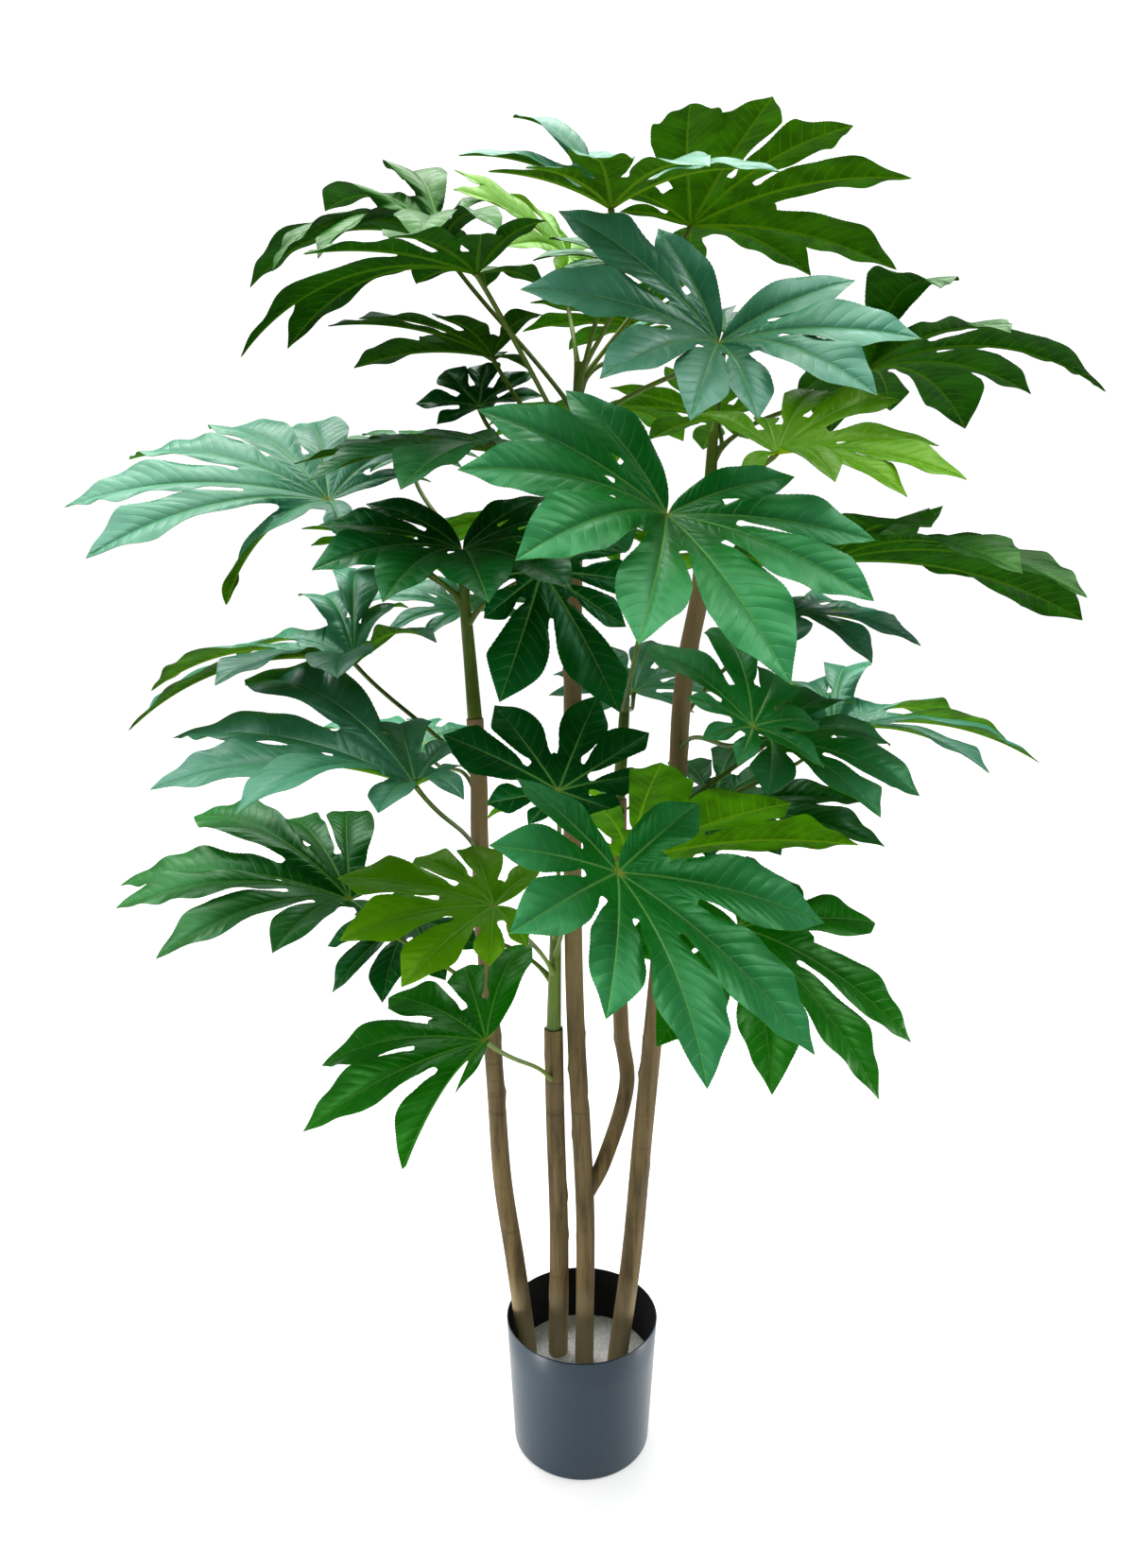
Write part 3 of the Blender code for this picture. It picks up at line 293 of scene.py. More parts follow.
     {"wide": 1.3, "turn": {4: 20, 5: 12, 6: 8}, "rise": {4: 6, 5: 20}, "long": {2: 1.2, 3: .9, 4: .85}}),
    ("leaf_left_05", "dark", "shoot_left", .930, (-.040, -.060, .985), .155, -82, 14, -60, 8, 10, 12,
     {"wide": 1.35, "spread": 230, "turn": {4: 12},
      "long": {0: .75, 1: .6, 2: .5, 3: .87, 4: .97, 5: .65, 6: .7}}),
    ("leaf_left_06", "blue", "trunk_left", .770, (-.240, .060, .885), .225, 178, -4, 5, 9, 20, 30,
     {"wide": 1.2, "turn": {1: 8, 8: 12}, "rise": {0: 60, 1: 60, 2: 50, 3: 20, 4: 5, 8: 20},
      "fall": {0: -20, 1: -30, 2: -20, 5: 5}, "twist": {3: -20, 4: 12, 5: 22},
      "long": {0: .8, 2: .85, 3: .85, 5: 1.15, 8: 1.1}}),
    ("leaf_left_07", "blue", "trunk_left", .740, (-.190, .220, .770), .150, 150, 7, -6, 8, 15, 25, {}),
    ("leaf_fork_03", "blue", "shoot_fork", .820, (.060, .170, .840), .120, 95, 2, -25, 8, 15, 20, {}),
    ("leaf_left_08", "blue", "shoot_left", .900, (-.135, .200, .930), .130, 120, 5, -16, 8, 15, 25, {}),
    ("leaf_left_09", "dark", "shoot_left", .980, (-.195, .190, 1.105), .100, 110, 5, -20, 8, 15, 20, {}),
    ("leaf_left_10", "green", "shoot_left", .940, (-.190, .100, 1), .110, 190, 5, 15, 8, 15, 20, {}),
    ("leaf_centre_11", "dark", "shoot_centre", 1.17, (.035, -.020, 1.26), .090, 130, 10, -25, 8, 15, 20, {}),
    ("leaf_right_11", "blue", "shoot_right", 1.1, (.140, .050, 1.215), .120, 70, -5, -22, 8, 15, 20, {}),
    ("leaf_centre_12", "green", "shoot_centre", 1.08, (.025, .260, 1.155), .180, 80, 0, 6, 9, 18, 30, {}),
    ("leaf_centre_13", "green", "shoot_centre", 1.01, (-.040, .250, 1.025), .180, 115, 0, 12, 9, 18, 30, {}),
    ("leaf_right_12", "green", "shoot_right", 1, (.165, .280, .980), .160, 85, 5, 12, 9, 18, 30, {}),
    ("leaf_fork_04", "green", "shoot_fork", .770, (.030, .220, .705), .190, 90, 0, 14, 9, 18, 30,
     {"leave": (0, 1, .2)}),
]

# Each tone paints on the one leaf material how light falls on that leaf: blue is a painted sheen, dark, deep
# and olive are painted shade, lime is painted light shining through, and green and fresh lie between. For
# each tone, on the upper side the deep colour, the light one and the painted sheen of the lobe ends, then the
# underside's colour and the tint of the upper side's gloss.
PAINTED_LIGHT_TONES = {
    "green": ((.0008, .095, .003), (.005, .200, .018), (.055, .340, .125),
              (.046, .180, .0005), (.32, 1.0, .50)),
    "fresh": ((.0008, .100, .0005), (.008, .215, .001), (.016, .230, .002),
              (.046, .180, .0005), (.24, .80, .20)),
    "dark": ((.0004, .042, .002), (.002, .100, .008), (.006, .120, .018),
             (.012, .066, .0005), (.16, .85, .40)),
    "deep": ((.0006, .060, .002), (.004, .120, .008), (.040, .200, .045),
             (.012, .066, .0005), (.26, .95, .40)),
    "olive": ((.0020, .045, .0005), (.012, .110, .001), (.016, .120, .001),
              (.011, .078, .0004), (.33, 1.0, .18)),
    "lime": ((.080, .290, .001), (.130, .400, .002), (.145, .410, .002),
             (.130, .310, .0005), (.60, 1.0, .10)),
    "blue": ((.014, .165, .060), (.060, .290, .150), (.095, .340, .220),
             (.040, .150, .002), (.70, 1.0, .92)),
}
LEAF_GLOSS = 0.58
SWELL_HEIGHT = 0.00035
HUB_COLOUR = (.330, .400, .050)
VEIN_PALER = (.14, .28, .06)
TOP_RIB_WIDTH = 0.0011
TOP_VEIN_WIDTH = 0.0006
UNDER_RIB_WIDTH = 0.0016
UNDER_VEIN_WIDTH = 0.0007
STALK_COLOURS = ((.050, .100, .006), (.115, .190, .014))
STALK_STREAK = (.160, .210, .030)
BARK_COLOURS = ((.062, .040, .012), (.160, .108, .034))
BARK_PATCH = (.170, .120, .055)
BARK_FIBRE = (.034, .018, .008)
BARK_RING = (.045, .028, .012)
BARK_PAINTED_LIGHT = (.310, .215, .100)
BARK_DUST = (.460, .370, .210)
POT_COLOURS = ((.004, .021, .040), (.012, .040, .066))
POT_INSIDE_SHADE = (.0015, .0025, .0040)
FILL_COLOURS = ((.420, .420, .440), (.720, .715, .710))
FILL_STAIN = (.300, .230, .170)
FLOOR_COLOURS = ((.60, .60, .60), (.63, .63, .63))
FLOOR_GLOW = 0.5
WHITE = (1.0, 1.0, 1.0, 1.0)

# Camera, floor and light
CAMERA_PLACE = (-0.0168, -1.183, 1.025)
CAMERA_PITCH = 12.25
FOCAL_PIXELS = 1250.0
FRAME_HEIGHT_PIXELS = 1659.0
SENSOR = 36.0
FLOOR_HALF = 5.0
SUN_HEADING = -160
SUN_HEIGHT = 65
SUN_SPREAD = 60
SUN_STRENGTH = 2.8
SKY_LOW = -0.1
SKY_DIM = 0.05
SKY_BRIGHT = 0.90
MIRRORED_DIM = 0.02
MIRRORED_BRIGHT = 3.1
MIRRORED_HEIGHTS = (0.42, 0.85)
MIRRORED_DEPTHS = (-0.65, -0.10)
WINDOW_SCALE = 3.2
WINDOW_SHADES = (0.35, 1.9)

# One row for each lamp: name, place, the point that it faces, width, power and whether gloss mirrors it.
LAMPS = [
    ("top", (-0.5, 0.9, 3.0), (0, 0, 0.9), 1.8, 45, False),
    ("left", (-1.0, 0.15, 0.35), (0, 0, 0.08), 0.5, 3.0, True),
    ("right", (1.0, 0.15, 0.35), (0, 0, 0.08), 0.5, 2.4, True),
    ("low left", (-0.36, -0.26, 0.10), (0, 0, 0.07), 0.16, 0.75, True),
    ("low right", (0.40, -0.04, 0.10), (0, 0, 0.07), 0.16, 0.60, True),
]


# Shader nodes

def set_inputs(tree, node, inputs):
    """Give a node its inputs, each a value or another node's output."""
    for key, value in inputs.items():
        if isinstance(value, bpy.types.NodeSocket):
            tree.links.new(value, node.inputs[key])
        else:
            node.inputs[key].default_value = value


def add_node(tree, kind, inputs, **settings):
    made = tree.nodes.new(kind)
    for key, value in settings.items():
        setattr(made, key, value)
    set_inputs(tree, made, inputs)
    return made


def maths(tree, operation, *values):
    return add_node(tree, "ShaderNodeMath", dict(enumerate(values)), operation=operation).outputs[0]


def times(tree, one, other):
    return maths(tree, "MULTIPLY", one, other)


def parts_of(tree, vector):
    return add_node(tree, "ShaderNodeSeparateXYZ", {"Vector": vector}).outputs


def noise(tree, vector, scale, detail=3.0, roughness=0.55):
    """A value from 0 to 1 that drifts through space, with features about 1 / scale metres wide."""
    return add_node(tree, "ShaderNodeTexNoise", {"Vector": vector, "Scale": scale, "Detail": detail,
                                                 "Roughness": roughness}).outputs["Fac"]


def long_noise(tree, place, across, along, detail=3.0, roughness=0.55):
    """Noise with one scale across a stem and another along it."""
    drawn_out = add_node(tree, "ShaderNodeMapping", {"Vector": place, "Scale": (across, across, along)})
    return noise(tree, drawn_out.outputs["Vector"], 1.0, detail, roughness)


def ramp(tree, value, low, high, to_low=0.0, to_high=1.0):
    """A value that goes smoothly from to_low to to_high as the input goes from low to high."""
    return add_node(tree, "ShaderNodeMapRange", {"Value": value, "From Min": low, "From Max": high,
                                                 "To Min": to_low, "To Max": to_high},
                    interpolation_type="SMOOTHSTEP").outputs["Result"]


def blend_colours(tree, factor, one, other):
    """The colour that is one at factor 0 and the other at factor 1."""
    one, other = ((*colour, 1.0) if isinstance(colour, tuple) else colour for colour in (one, other))
    return add_node(tree, "ShaderNodeMix", {0: factor, 6: one, 7: other}, data_type="RGBA").outputs[2]


def laid_over(tree, colour, other, mask, strength):
    """The colour with another over it where the mask is 1, at some strength from 0 to 1."""
    return blend_colours(tree, times(tree, mask, strength), colour, other)


def bumped(tree, height, distance, strength, below=None):
    inputs = {"Height": height, "Distance": distance, "Strength": strength}
    if below is not None:
        inputs["Normal"] = below
    return add_node(tree, "ShaderNodeBump", inputs).outputs["Normal"]


def new_material(name):
    made = bpy.data.materials.new(name)
    made.use_nodes = True
    tree = made.node_tree
    place = add_node(tree, "ShaderNodeTexCoord", {}).outputs["Object"]
    return made, tree, tree.nodes["Principled BSDF"], place


# Materials

def leaf_map(tree):
    """From a blade's UV layers: metres from the midrib, the share of the way from one side vein to the next,
    the share of the half-width and the share of the lobe's length."""
    veins, place = (parts_of(tree, add_node(tree, "ShaderNodeUVMap", {}, uv_map=layer).outputs["UV"])
                    for layer in ("veins", "place"))
    return veins["X"], maths(tree, "FRACT", veins["Y"]), place["X"], place["Y"]


def rib_mask(tree, across, along, width):
    """Where the midribs run, thinner towards the tips."""
    width = ramp(tree, along, 0.0, 1.0, width, 0.3 * width)
    return ramp(tree, maths(tree, "DIVIDE", across, width), 0.6, 1.5, 1.0, 0.0)


def vein_mask(tree, step, outward, width):
    """Where the side veins run, thinner towards the edge and gone at it."""
    near = maths(tree, "ABSOLUTE", maths(tree, "SUBTRACT", step, 0.5))
    near = times(tree, maths(tree, "SUBTRACT", 0.5, near), VEIN_SPACING)
    width = ramp(tree, outward, 0.1, 0.95, width, 0.35 * width)
    vein = ramp(tree, maths(tree, "DIVIDE", near, width), 0.4, 1.8, 1.0, 0.0)
    return times(tree, vein, ramp(tree, outward, 0.75, 1.0, 1.0, 0.0))


def swell_mask(tree, step, outward):
    """Low swells between the side veins, gone at the midrib and at the edge."""
    swell = times(tree, times(tree, step, maths(tree, "SUBTRACT", 1.0, step)), 4.0)
    swell = times(tree, swell, ramp(tree, outward, 0.02, 0.35))
    return times(tree, swell, ramp(tree, outward, 0.75, 1.0, 1.0, 0.0))


def leaf_top_material(tone):
    """The printed and waxed upper side: two greens, painted shade along the midrib, a painted sheen at the
    lobe ends, paler veins and low swells.
    """
    deep, light, ends, _, gloss = PAINTED_LIGHT_TONES[tone]
    made, tree, shader, place = new_material("leaf_top_" + tone)
    across, step, outward, along = leaf_map(tree)
    vein = vein_mask(tree, step, outward, TOP_VEIN_WIDTH)
    broad = ramp(tree, noise(tree, place, 9.0, 2.0), 0.35, 0.65)
    patch = ramp(tree, noise(tree, place, 55.0, 4.0), 0.30, 0.70)
    mottle = maths(tree, "ADD", times(tree, broad, 0.6), times(tree, patch, 0.4))
    colour = blend_colours(tree, mottle, deep, light)
    # Painted shade in the fold along the midrib, fading out by three tenths of the half-width.
    midrib_shade = ramp(tree, outward, 0.0, 0.30, 1.0, 0.0)
    colour = laid_over(tree, colour, tuple(0.55 * c for c in deep), midrib_shade, 0.25)
    # Painted sheen: the lobe ends paler, as where they mirror the bright light above.
    colour = laid_over(tree, colour, ends, ramp(tree, along, 0.25, 0.95), 0.65)
    pale = tuple(0.7 * c + d for c, d in zip(light, VEIN_PALER))
    colour = laid_over(tree, colour, pale, vein, 0.20)
    colour = laid_over(tree, colour, pale, rib_mask(tree, across, along, TOP_RIB_WIDTH), 0.9)
    colour = blend_colours(tree, ramp(tree, along, 0.015, 0.035, 0.85, 0.0), colour, HUB_COLOUR)
    rough = ramp(tree, noise(tree, place, 140.0, 3.0), 0.3, 0.7, 0.28, 0.40)
    normal = bumped(tree, maths(tree, "SUBTRACT", 1.0, vein), 0.0002, 0.6)
    uneven = ramp(tree, noise(tree, place, 30.0, 2.0), 0.35, 0.70, 0.15, 1.0)
    normal = bumped(tree, times(tree, swell_mask(tree, step, outward), uneven), SWELL_HEIGHT, 1.0, normal)
    set_inputs(tree, shader, {"Base Color": colour, "Roughness": rough, "Specular IOR Level": LEAF_GLOSS,
                              "Specular Tint": (*gloss, 1.0), "Normal": normal})
    return made


def leaf_under_material(tone):
    """The matt underside, with pale veins."""
    under = PAINTED_LIGHT_TONES[tone][3]
    made, tree, shader, place = new_material("leaf_under_" + tone)
    across, step, outward, along = leaf_map(tree)
    patch = ramp(tree, noise(tree, place, 40.0, 4.0), 0.30, 0.70)
    colour = blend_colours(tree, patch, tuple(0.7 * c for c in under), tuple(1.3 * c for c in under))
    pale = (under[0] * 2.6 + .03, under[1] * 1.7 + .04, under[2] * 2 + .004)
    colour = laid_over(tree, colour, pale, vein_mask(tree, step, outward, UNDER_VEIN_WIDTH), 0.45)
    colour = laid_over(tree, colour, pale, rib_mask(tree, across, along, UNDER_RIB_WIDTH), 0.85)
    set_inputs(tree, shader, {"Base Color": colour, "Roughness": 0.70, "Specular IOR Level": 0.03})
    return made


def stalk_material():
    """Moulded green stems with fine streaks along them."""
    made, tree, shader, place = new_material("stalk_green")
    broad = ramp(tree, noise(tree, place, 14.0, 2.0), 0.35, 0.65)
    streak = ramp(tree, long_noise(tree, place, 420.0, 30.0), 0.35, 0.65)
    colour = laid_over(tree, blend_colours(tree, broad, *STALK_COLOURS), STALK_STREAK, streak, 0.45)
    set_inputs(tree, shader, {"Base Color": colour, "Roughness": 0.42, "Specular IOR Level": 0.30,
                              "Normal": bumped(tree, streak, 0.0002, 0.5)})
    return made


def bark_material():
    """Smooth brown bark with fibres along the trunk, patches and faint rings, painted paler higher up as
    light on the upper trunks, and dusty near the fill."""
    made, tree, shader, place = new_material("trunk_bark")
    fibre = long_noise(tree, place, 500.0, 24.0, 5.0, 0.65)
    streak = long_noise(tree, place, 110.0, 9.0)
    patch = ramp(tree, long_noise(tree, place, 30.0, 14.0), 0.40, 0.65)
    ring = ramp(tree, long_noise(tree, place, 7.0, 90.0), 0.60, 0.72)
    height = parts_of(tree, place)["Z"]
    colour = blend_colours(tree, ramp(tree, streak, 0.35, 0.65), *BARK_COLOURS)
    colour = laid_over(tree, colour, BARK_PATCH, patch, 0.5)
    colour = laid_over(tree, colour, BARK_FIBRE, ramp(tree, fibre, 0.52, 0.75), 0.7)
    colour = laid_over(tree, colour, BARK_RING, ring, 0.4)
    # Painted light: the bark lighter higher up, standing in for light on the upper trunks among the leaves.
    colour = laid_over(tree, colour, BARK_PAINTED_LIGHT, ramp(tree, height, 0.40, 0.80), 0.8)
    colour = laid_over(tree, colour, BARK_DUST, ramp(tree, height, 0.12, 0.21, 1.0, 0.0), 0.8)
    normal = bumped(tree, streak, 0.0012, 0.5, bumped(tree, fibre, 0.0007, 0.7))
    set_inputs(tree, shader, {"Base Color": colour, "Roughness": 0.72, "Specular IOR Level": 0.3,
                              "Normal": normal})
    return made


def pot_material():
    """Dark blue-grey plastic with faint dust, painted nearly black inside as shade, and matt there."""
    made, tree, shader, place = new_material("pot_plastic")
    dust = ramp(tree, noise(tree, place, 14.0, 2.0), 0.30, 0.75)
    colour = blend_colours(tree, times(tree, dust, 0.2), *POT_COLOURS)
    at = parts_of(tree, place)
    flat = add_node(tree, "ShaderNodeCombineXYZ", {"X": at["X"], "Y": at["Y"]}).outputs["Vector"]
    radius = add_node(tree, "ShaderNodeVectorMath", {0: flat}, operation="LENGTH").outputs["Value"]
    wall = maths(tree, "MULTIPLY_ADD", at["Z"], POT_SLOPE, POT_BASE_RADIUS - POT_WALL / 2)
    inside = ramp(tree, maths(tree, "SUBTRACT", radius, wall), -POT_WALL / 4, POT_WALL / 4, 1.0, 0.0)
    # Painted shade: the inner wall nearly black, as in the shade inside the pot.
    set_inputs(tree, shader, {"Base Color": blend_colours(tree, inside, colour, POT_INSIDE_SHADE),
                              "Roughness": maths(tree, "MAXIMUM", 0.28, inside),
                              "Normal": bumped(tree, noise(tree, place, 900.0, 2.0), 0.00008, 0.5)})
    return made


def fill_material():
    """Rough whitish cast fill with brownish stains and small pits."""
    made, tree, shader, place = new_material("fill_plaster")
    stain = ramp(tree, noise(tree, place, 60.0, 5.0, 0.65), 0.48, 0.70)
    grain = noise(tree, place, 420.0, 5.0, 0.7)
    colour = blend_colours(tree, ramp(tree, grain, 0.3, 0.7), *FILL_COLOURS)
    set_inputs(tree, shader, {"Base Color": laid_over(tree, colour, FILL_STAIN, stain, 0.6),
                              "Roughness": 0.9, "Normal": bumped(tree, grain, 0.0015, 0.8)})
    return made


def floor_material():
    made, tree, shader, place = new_material("floor_paper")
    colour = blend_colours(tree, noise(tree, place, 3.0, 2.0), *FLOOR_COLOURS)
    set_inputs(tree, shader, {"Base Color": colour, "Emission Color": WHITE,
                              "Emission Strength": FLOOR_GLOW, "Roughness": 0.9})
    return made


# Mesh helpers

def unit(vector):
    return vector / np.linalg.norm(vector)


def angles_round(sides):
    return 2 * math.pi * np.arange(sides) / sides


def run_along(path):
    """How far each point of a path is from its start, measured along it."""
    return np.concatenate([[0], np.cumsum(np.linalg.norm(np.diff(path, axis=0), axis=1))])


def add_object(name, data):
    made = bpy.data.objects.new(name, data)
    bpy.context.scene.collection.objects.link(made)
    return made


def new_piece(name, points, faces, materials, slots=None):
    """A piece that rides on the plant, from points and faces whose order shows which way is out."""
    mesh = bpy.data.meshes.new(name)
    mesh.from_pydata(points.tolist(), [], faces)
    for finish in materials:
        mesh.materials.append(finish)
    if slots is not None:
        mesh.polygons.foreach_set("material_index", slots)
    mesh.shade_smooth()
    mesh.set_sharp_from_angle(angle=math.radians(SHARP_ANGLE))
    mesh.update()
    made = add_object(name, mesh)
    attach(made, "root")
    return made


def smooth_through(x, stations, values):
    """A smooth curve through points, read at x."""
    stations = np.array(stations, float)
    values = np.array(values, float)
    slopes = np.gradient(values, stations)
    i = np.clip(np.searchsorted(stations, x, side="right") - 1, 0, len(stations) - 2)
    span = stations[i + 1] - stations[i]
    t = (x - stations[i]) / span
    start = (1 + 2 * t) * (1 - t) ** 2 * values[i] + t * (1 - t) ** 2 * span * slopes[i]
    end = t * t * (3 - 2 * t) * values[i + 1] + t * t * (t - 1) * span * slopes[i + 1]
    return start + end


def smooth_path(path, steps):
    """A smooth curve through the points of a path, with some steps from each point to the next."""
    p = np.array(path, float)
    p = np.vstack([2 * p[0] - p[1], p, 2 * p[-1] - p[-2]])
    made = []
    for a, b, c, d in zip(p[:-3], p[1:-2], p[2:-1], p[3:]):
        for t in np.linspace(0, 1, steps, endpoint=False):
            made.append(0.5 * (2 * b + (c - a) * t + (2 * a - 5 * b + 4 * c - d) * t ** 2
                               + (3 * b - a - 3 * c + d) * t ** 3))
    made.append(p[-2])
    return np.array(made)


def bow(start, leave, arrive, end, steps):
    """A stalk's curve: it leaves its root one way and comes up to the blade another way."""
    far = np.linalg.norm(end - start)
    first = start + leave * far * BOW_START
    second = end - arrive * far * BOW_END
    t = np.linspace(0, 1, steps + 1)[:, None]
    return (1 - t) ** 3 * start + 3 * (1 - t) ** 2 * t * first + 3 * (1 - t) * t * t * second + t ** 3 * end


def tube(path, radii, sides, last_normal=None):
    """Points and faces of a closed tube. radii has one row for each ring, with one value or one a side."""
    radii = np.asarray(radii, float)
    if radii.ndim == 1:
        radii = np.repeat(radii[:, None], sides, axis=1)
    steps = np.diff(path, axis=0)
    steps = steps / np.linalg.norm(steps, axis=1)[:, None]
    ahead = [unit(a + b) for a, b in zip([steps[0], *steps], [*steps, steps[-1]])]
    if last_normal is not None:
        ahead[-1] = last_normal
    seed = [1, 0.1, 0] if abs(ahead[0][2]) > 0.9 else [0.31, 0.17, 0.93]
    side = np.cross(ahead[0], seed)
    across = np.cos(angles_round(sides))[:, None]
    over = np.sin(angles_round(sides))[:, None]
    rings = []
    for centre, direction, radius in zip(path, ahead, radii):
        side = unit(side - direction * side.dot(direction))
        other = np.cross(direction, side)
        rings.append(centre + radius[:, None] * (across * side + over * other))
    points = np.vstack(rings)
    faces = []
    for i in range(len(rings) - 1):
        for k in range(sides):
            a = i * sides + k
            b = i * sides + (k + 1) % sides
            faces.append((a, b, b + sides, a + sides))
    faces.append(tuple(range(sides))[::-1])
    faces.append(tuple(len(points) - sides + k for k in range(sides)))
    return points, faces


def merged(parts):
    """Several sets of points and faces as one."""
    points = []
    faces = []
    start = 0
    for part_points, part_faces in parts:
        points.append(part_points)
        faces += [tuple(i + start for i in face) for face in part_faces]
        start += len(part_points)
    return np.vstack(points), faces


def turned(profile, sides):
    """Points and faces of a solid turned about the Z axis from (radius, height) points."""
    points = []
    rings = []
    for radius, height in profile:
        first = len(points)
        if radius == 0:
            points.append((0, 0, height))
            rings.append([first] * sides)
            continue
        points += [(radius * math.cos(a), radius * math.sin(a), height) for a in angles_round(sides)]
        rings.append(list(range(first, first + sides)))
    faces = []
    for low, high in zip(rings[:-1], rings[1:]):
        for k in range(sides):
            after = (k + 1) % sides
            face = (low[k], low[after], high[after], high[k])
            faces.append(tuple(dict.fromkeys(face)))
    return np.array(points, float), faces


# Leaves

def leaf_axes(leaf):
    """Rows: along the middle lobe, to its left, and out of the upper side."""
    turn = math.radians(leaf.heading)
    up = unit(np.array([math.tan(math.radians(leaf.right)), math.tan(math.radians(leaf.back)), 1.0]))
    ahead = np.array([math.cos(turn), math.sin(turn), 0.0])
    along = unit(ahead - up * up.dot(ahead))
    return np.array([along, np.cross(up, along), up])


class Lobe:
    """One lobe of a blade, in the leaf's own axes."""

    def __init__(self, length, wide, angle, gap, rise, fall, sway, twist):
        self.length = length
        self.angle = math.radians(angle)
        self.half_gaps = [math.radians(gap / 2)] * 2
        self.sinuses = [SINUS * length] * 2
        self.wide = wide * HALF_WIDTH * math.sqrt(gap / USUAL_GAP)
        self.rise = math.radians(rise)
        self.turn = math.radians(max(rise + fall, 1.0))
        self.sway = math.radians(sway)
        self.twist = math.radians(twist)
        self.fold = math.radians(FOLD)

    def place(self, x, y, lift):
        """Points at x along the midrib, which bends in an arc, y to its left, and lift above the blade."""
        t = x / self.length
        bend = self.rise - self.turn * t
        out = self.length * (math.sin(self.rise) - np.sin(bend)) / self.turn
        up = self.length * (np.cos(bend) - math.cos(self.rise)) / self.turn
        swing = self.sway * t
        a = self.angle + 0.5 * swing
        b = self.angle + swing
        level = np.zeros_like(t)
        forward = np.stack([np.cos(b), np.sin(b), level], axis=-1)
        left = np.stack([-np.sin(b), np.cos(b), level], axis=-1)
        normal = np.cos(bend)[..., None] * UP - np.sin(bend)[..., None] * forward
        roll = (self.twist * t * t)[..., None]
        across = np.cos(roll) * left + np.sin(roll) * normal
        normal = np.cos(roll) * normal - np.sin(roll) * left
        fold = self.fold * np.minimum(1.0, FOLD_AT_HUB + FOLD_OPENS * t) * (1.0 - FOLD_FLATTENS * t)
        middle = np.stack([out * np.cos(a), out * np.sin(a), up], axis=-1)
        return (middle + across * (y * np.cos(fold))[..., None]
                + normal * (np.abs(y) * np.sin(fold) + lift)[..., None])

    def sinus(self, which):
        """How far along the midrib the notch on one side ends: 0 is to its right and 1 to its left."""
        return self.sinuses[which] * math.cos(self.half_gaps[which])

    def margin(self, x, which, free):
        """Half-width at x along the midrib on one side. A free side has no neighbouring lobe."""
        if free:
            return self.wide * self.length * smooth_through(x / self.length, SIDE_STATIONS, SIDE_WIDTHS)
        sinus = self.sinus(which)
        wedge = x * math.tan(self.half_gaps[which])
        past = np.maximum(x - sinus, 0.0)
        share = past / (self.length - sinus)
        wide = self.wide * self.length * smooth_through(share, LOBE_STATIONS, LOBE_WIDTHS)
        notch = NOTCH * np.sqrt(1 - np.maximum(0.0, 1 - past / NOTCH) ** 2)
        after = np.maximum(past - 1.5 * NOTCH, 0.0)
        notch = SLOT + (notch - SLOT) * np.exp(-after / NOTCH)
        notch = np.where(past < 0.05 * NOTCH, 0.0, notch)
        return np.where(x <= sinus, wedge, np.minimum(wide, wedge - notch))

    def edge_at(self, middle, which, free):
        """Where a slanted row that starts at these places on the midrib meets the edge."""
        edge = np.linspace(0, self.length, EDGE_STEPS)
        start = np.maximum.accumulate(edge - SLANT * self.margin(edge, which, free))
        return np.interp(middle, start, edge)


def own(leaf, what, lobe, usual=0):
    """What one lobe does otherwise than the others of its leaf."""
    return leaf.changes.get(what, {}).get(lobe, usual)


def lobes_of(leaf, seed):
    """The lobes of one blade, the outer ones shorter, each a little different."""
    draw = random.Random(seed)
    spread = leaf.changes.get("spread", SPREAD)
    gap = spread / (leaf.count - 1)
    made = []
    for i in range(leaf.count):
        angle = gap * i - spread / 2
        outer = OUTER_SHORTER * (abs(angle) * 2 / SPREAD) ** OUTER_POWER
        long = leaf.length * (1 - outer) * (1 + draw.uniform(-LENGTH_VARIES, LENGTH_VARIES))
        rise = leaf.rise + draw.uniform(-RISE_VARIES, RISE_VARIES) + own(leaf, "rise", i)
        fall = leaf.fall + draw.uniform(-FALL_VARIES, FALL_VARIES) + own(leaf, "fall", i)
        sway = draw.uniform(-SWAY_VARIES, SWAY_VARIES) + own(leaf, "sway", i)
        twist = draw.uniform(-TWIST_VARIES, TWIST_VARIES) + own(leaf, "twist", i)
        angle += draw.uniform(-ANGLE_VARIES, ANGLE_VARIES) + own(leaf, "turn", i)
        wide = leaf.changes.get("wide", 1) * own(leaf, "broad", i, 1)
        made.append(Lobe(long * own(leaf, "long", i, 1), wide, angle, gap, rise, fall, sway, twist))
    for one, other in zip(made[:-1], made[1:]):
        sinus = SINUS * (one.length + other.length) / 2 * draw.uniform(1 - SINUS_VARIES, 1 + SINUS_VARIES)
        sinus = min(sinus, DEEPEST_SINUS * min(one.length, other.length))
        one.half_gaps = [one.half_gaps[0], (other.angle - one.angle) / 2]
        other.half_gaps = [(other.angle - one.angle) / 2, other.half_gaps[1]]
        one.sinuses = [one.sinuses[0], sinus]
        other.sinuses = [sinus, other.sinuses[1]]
    return made


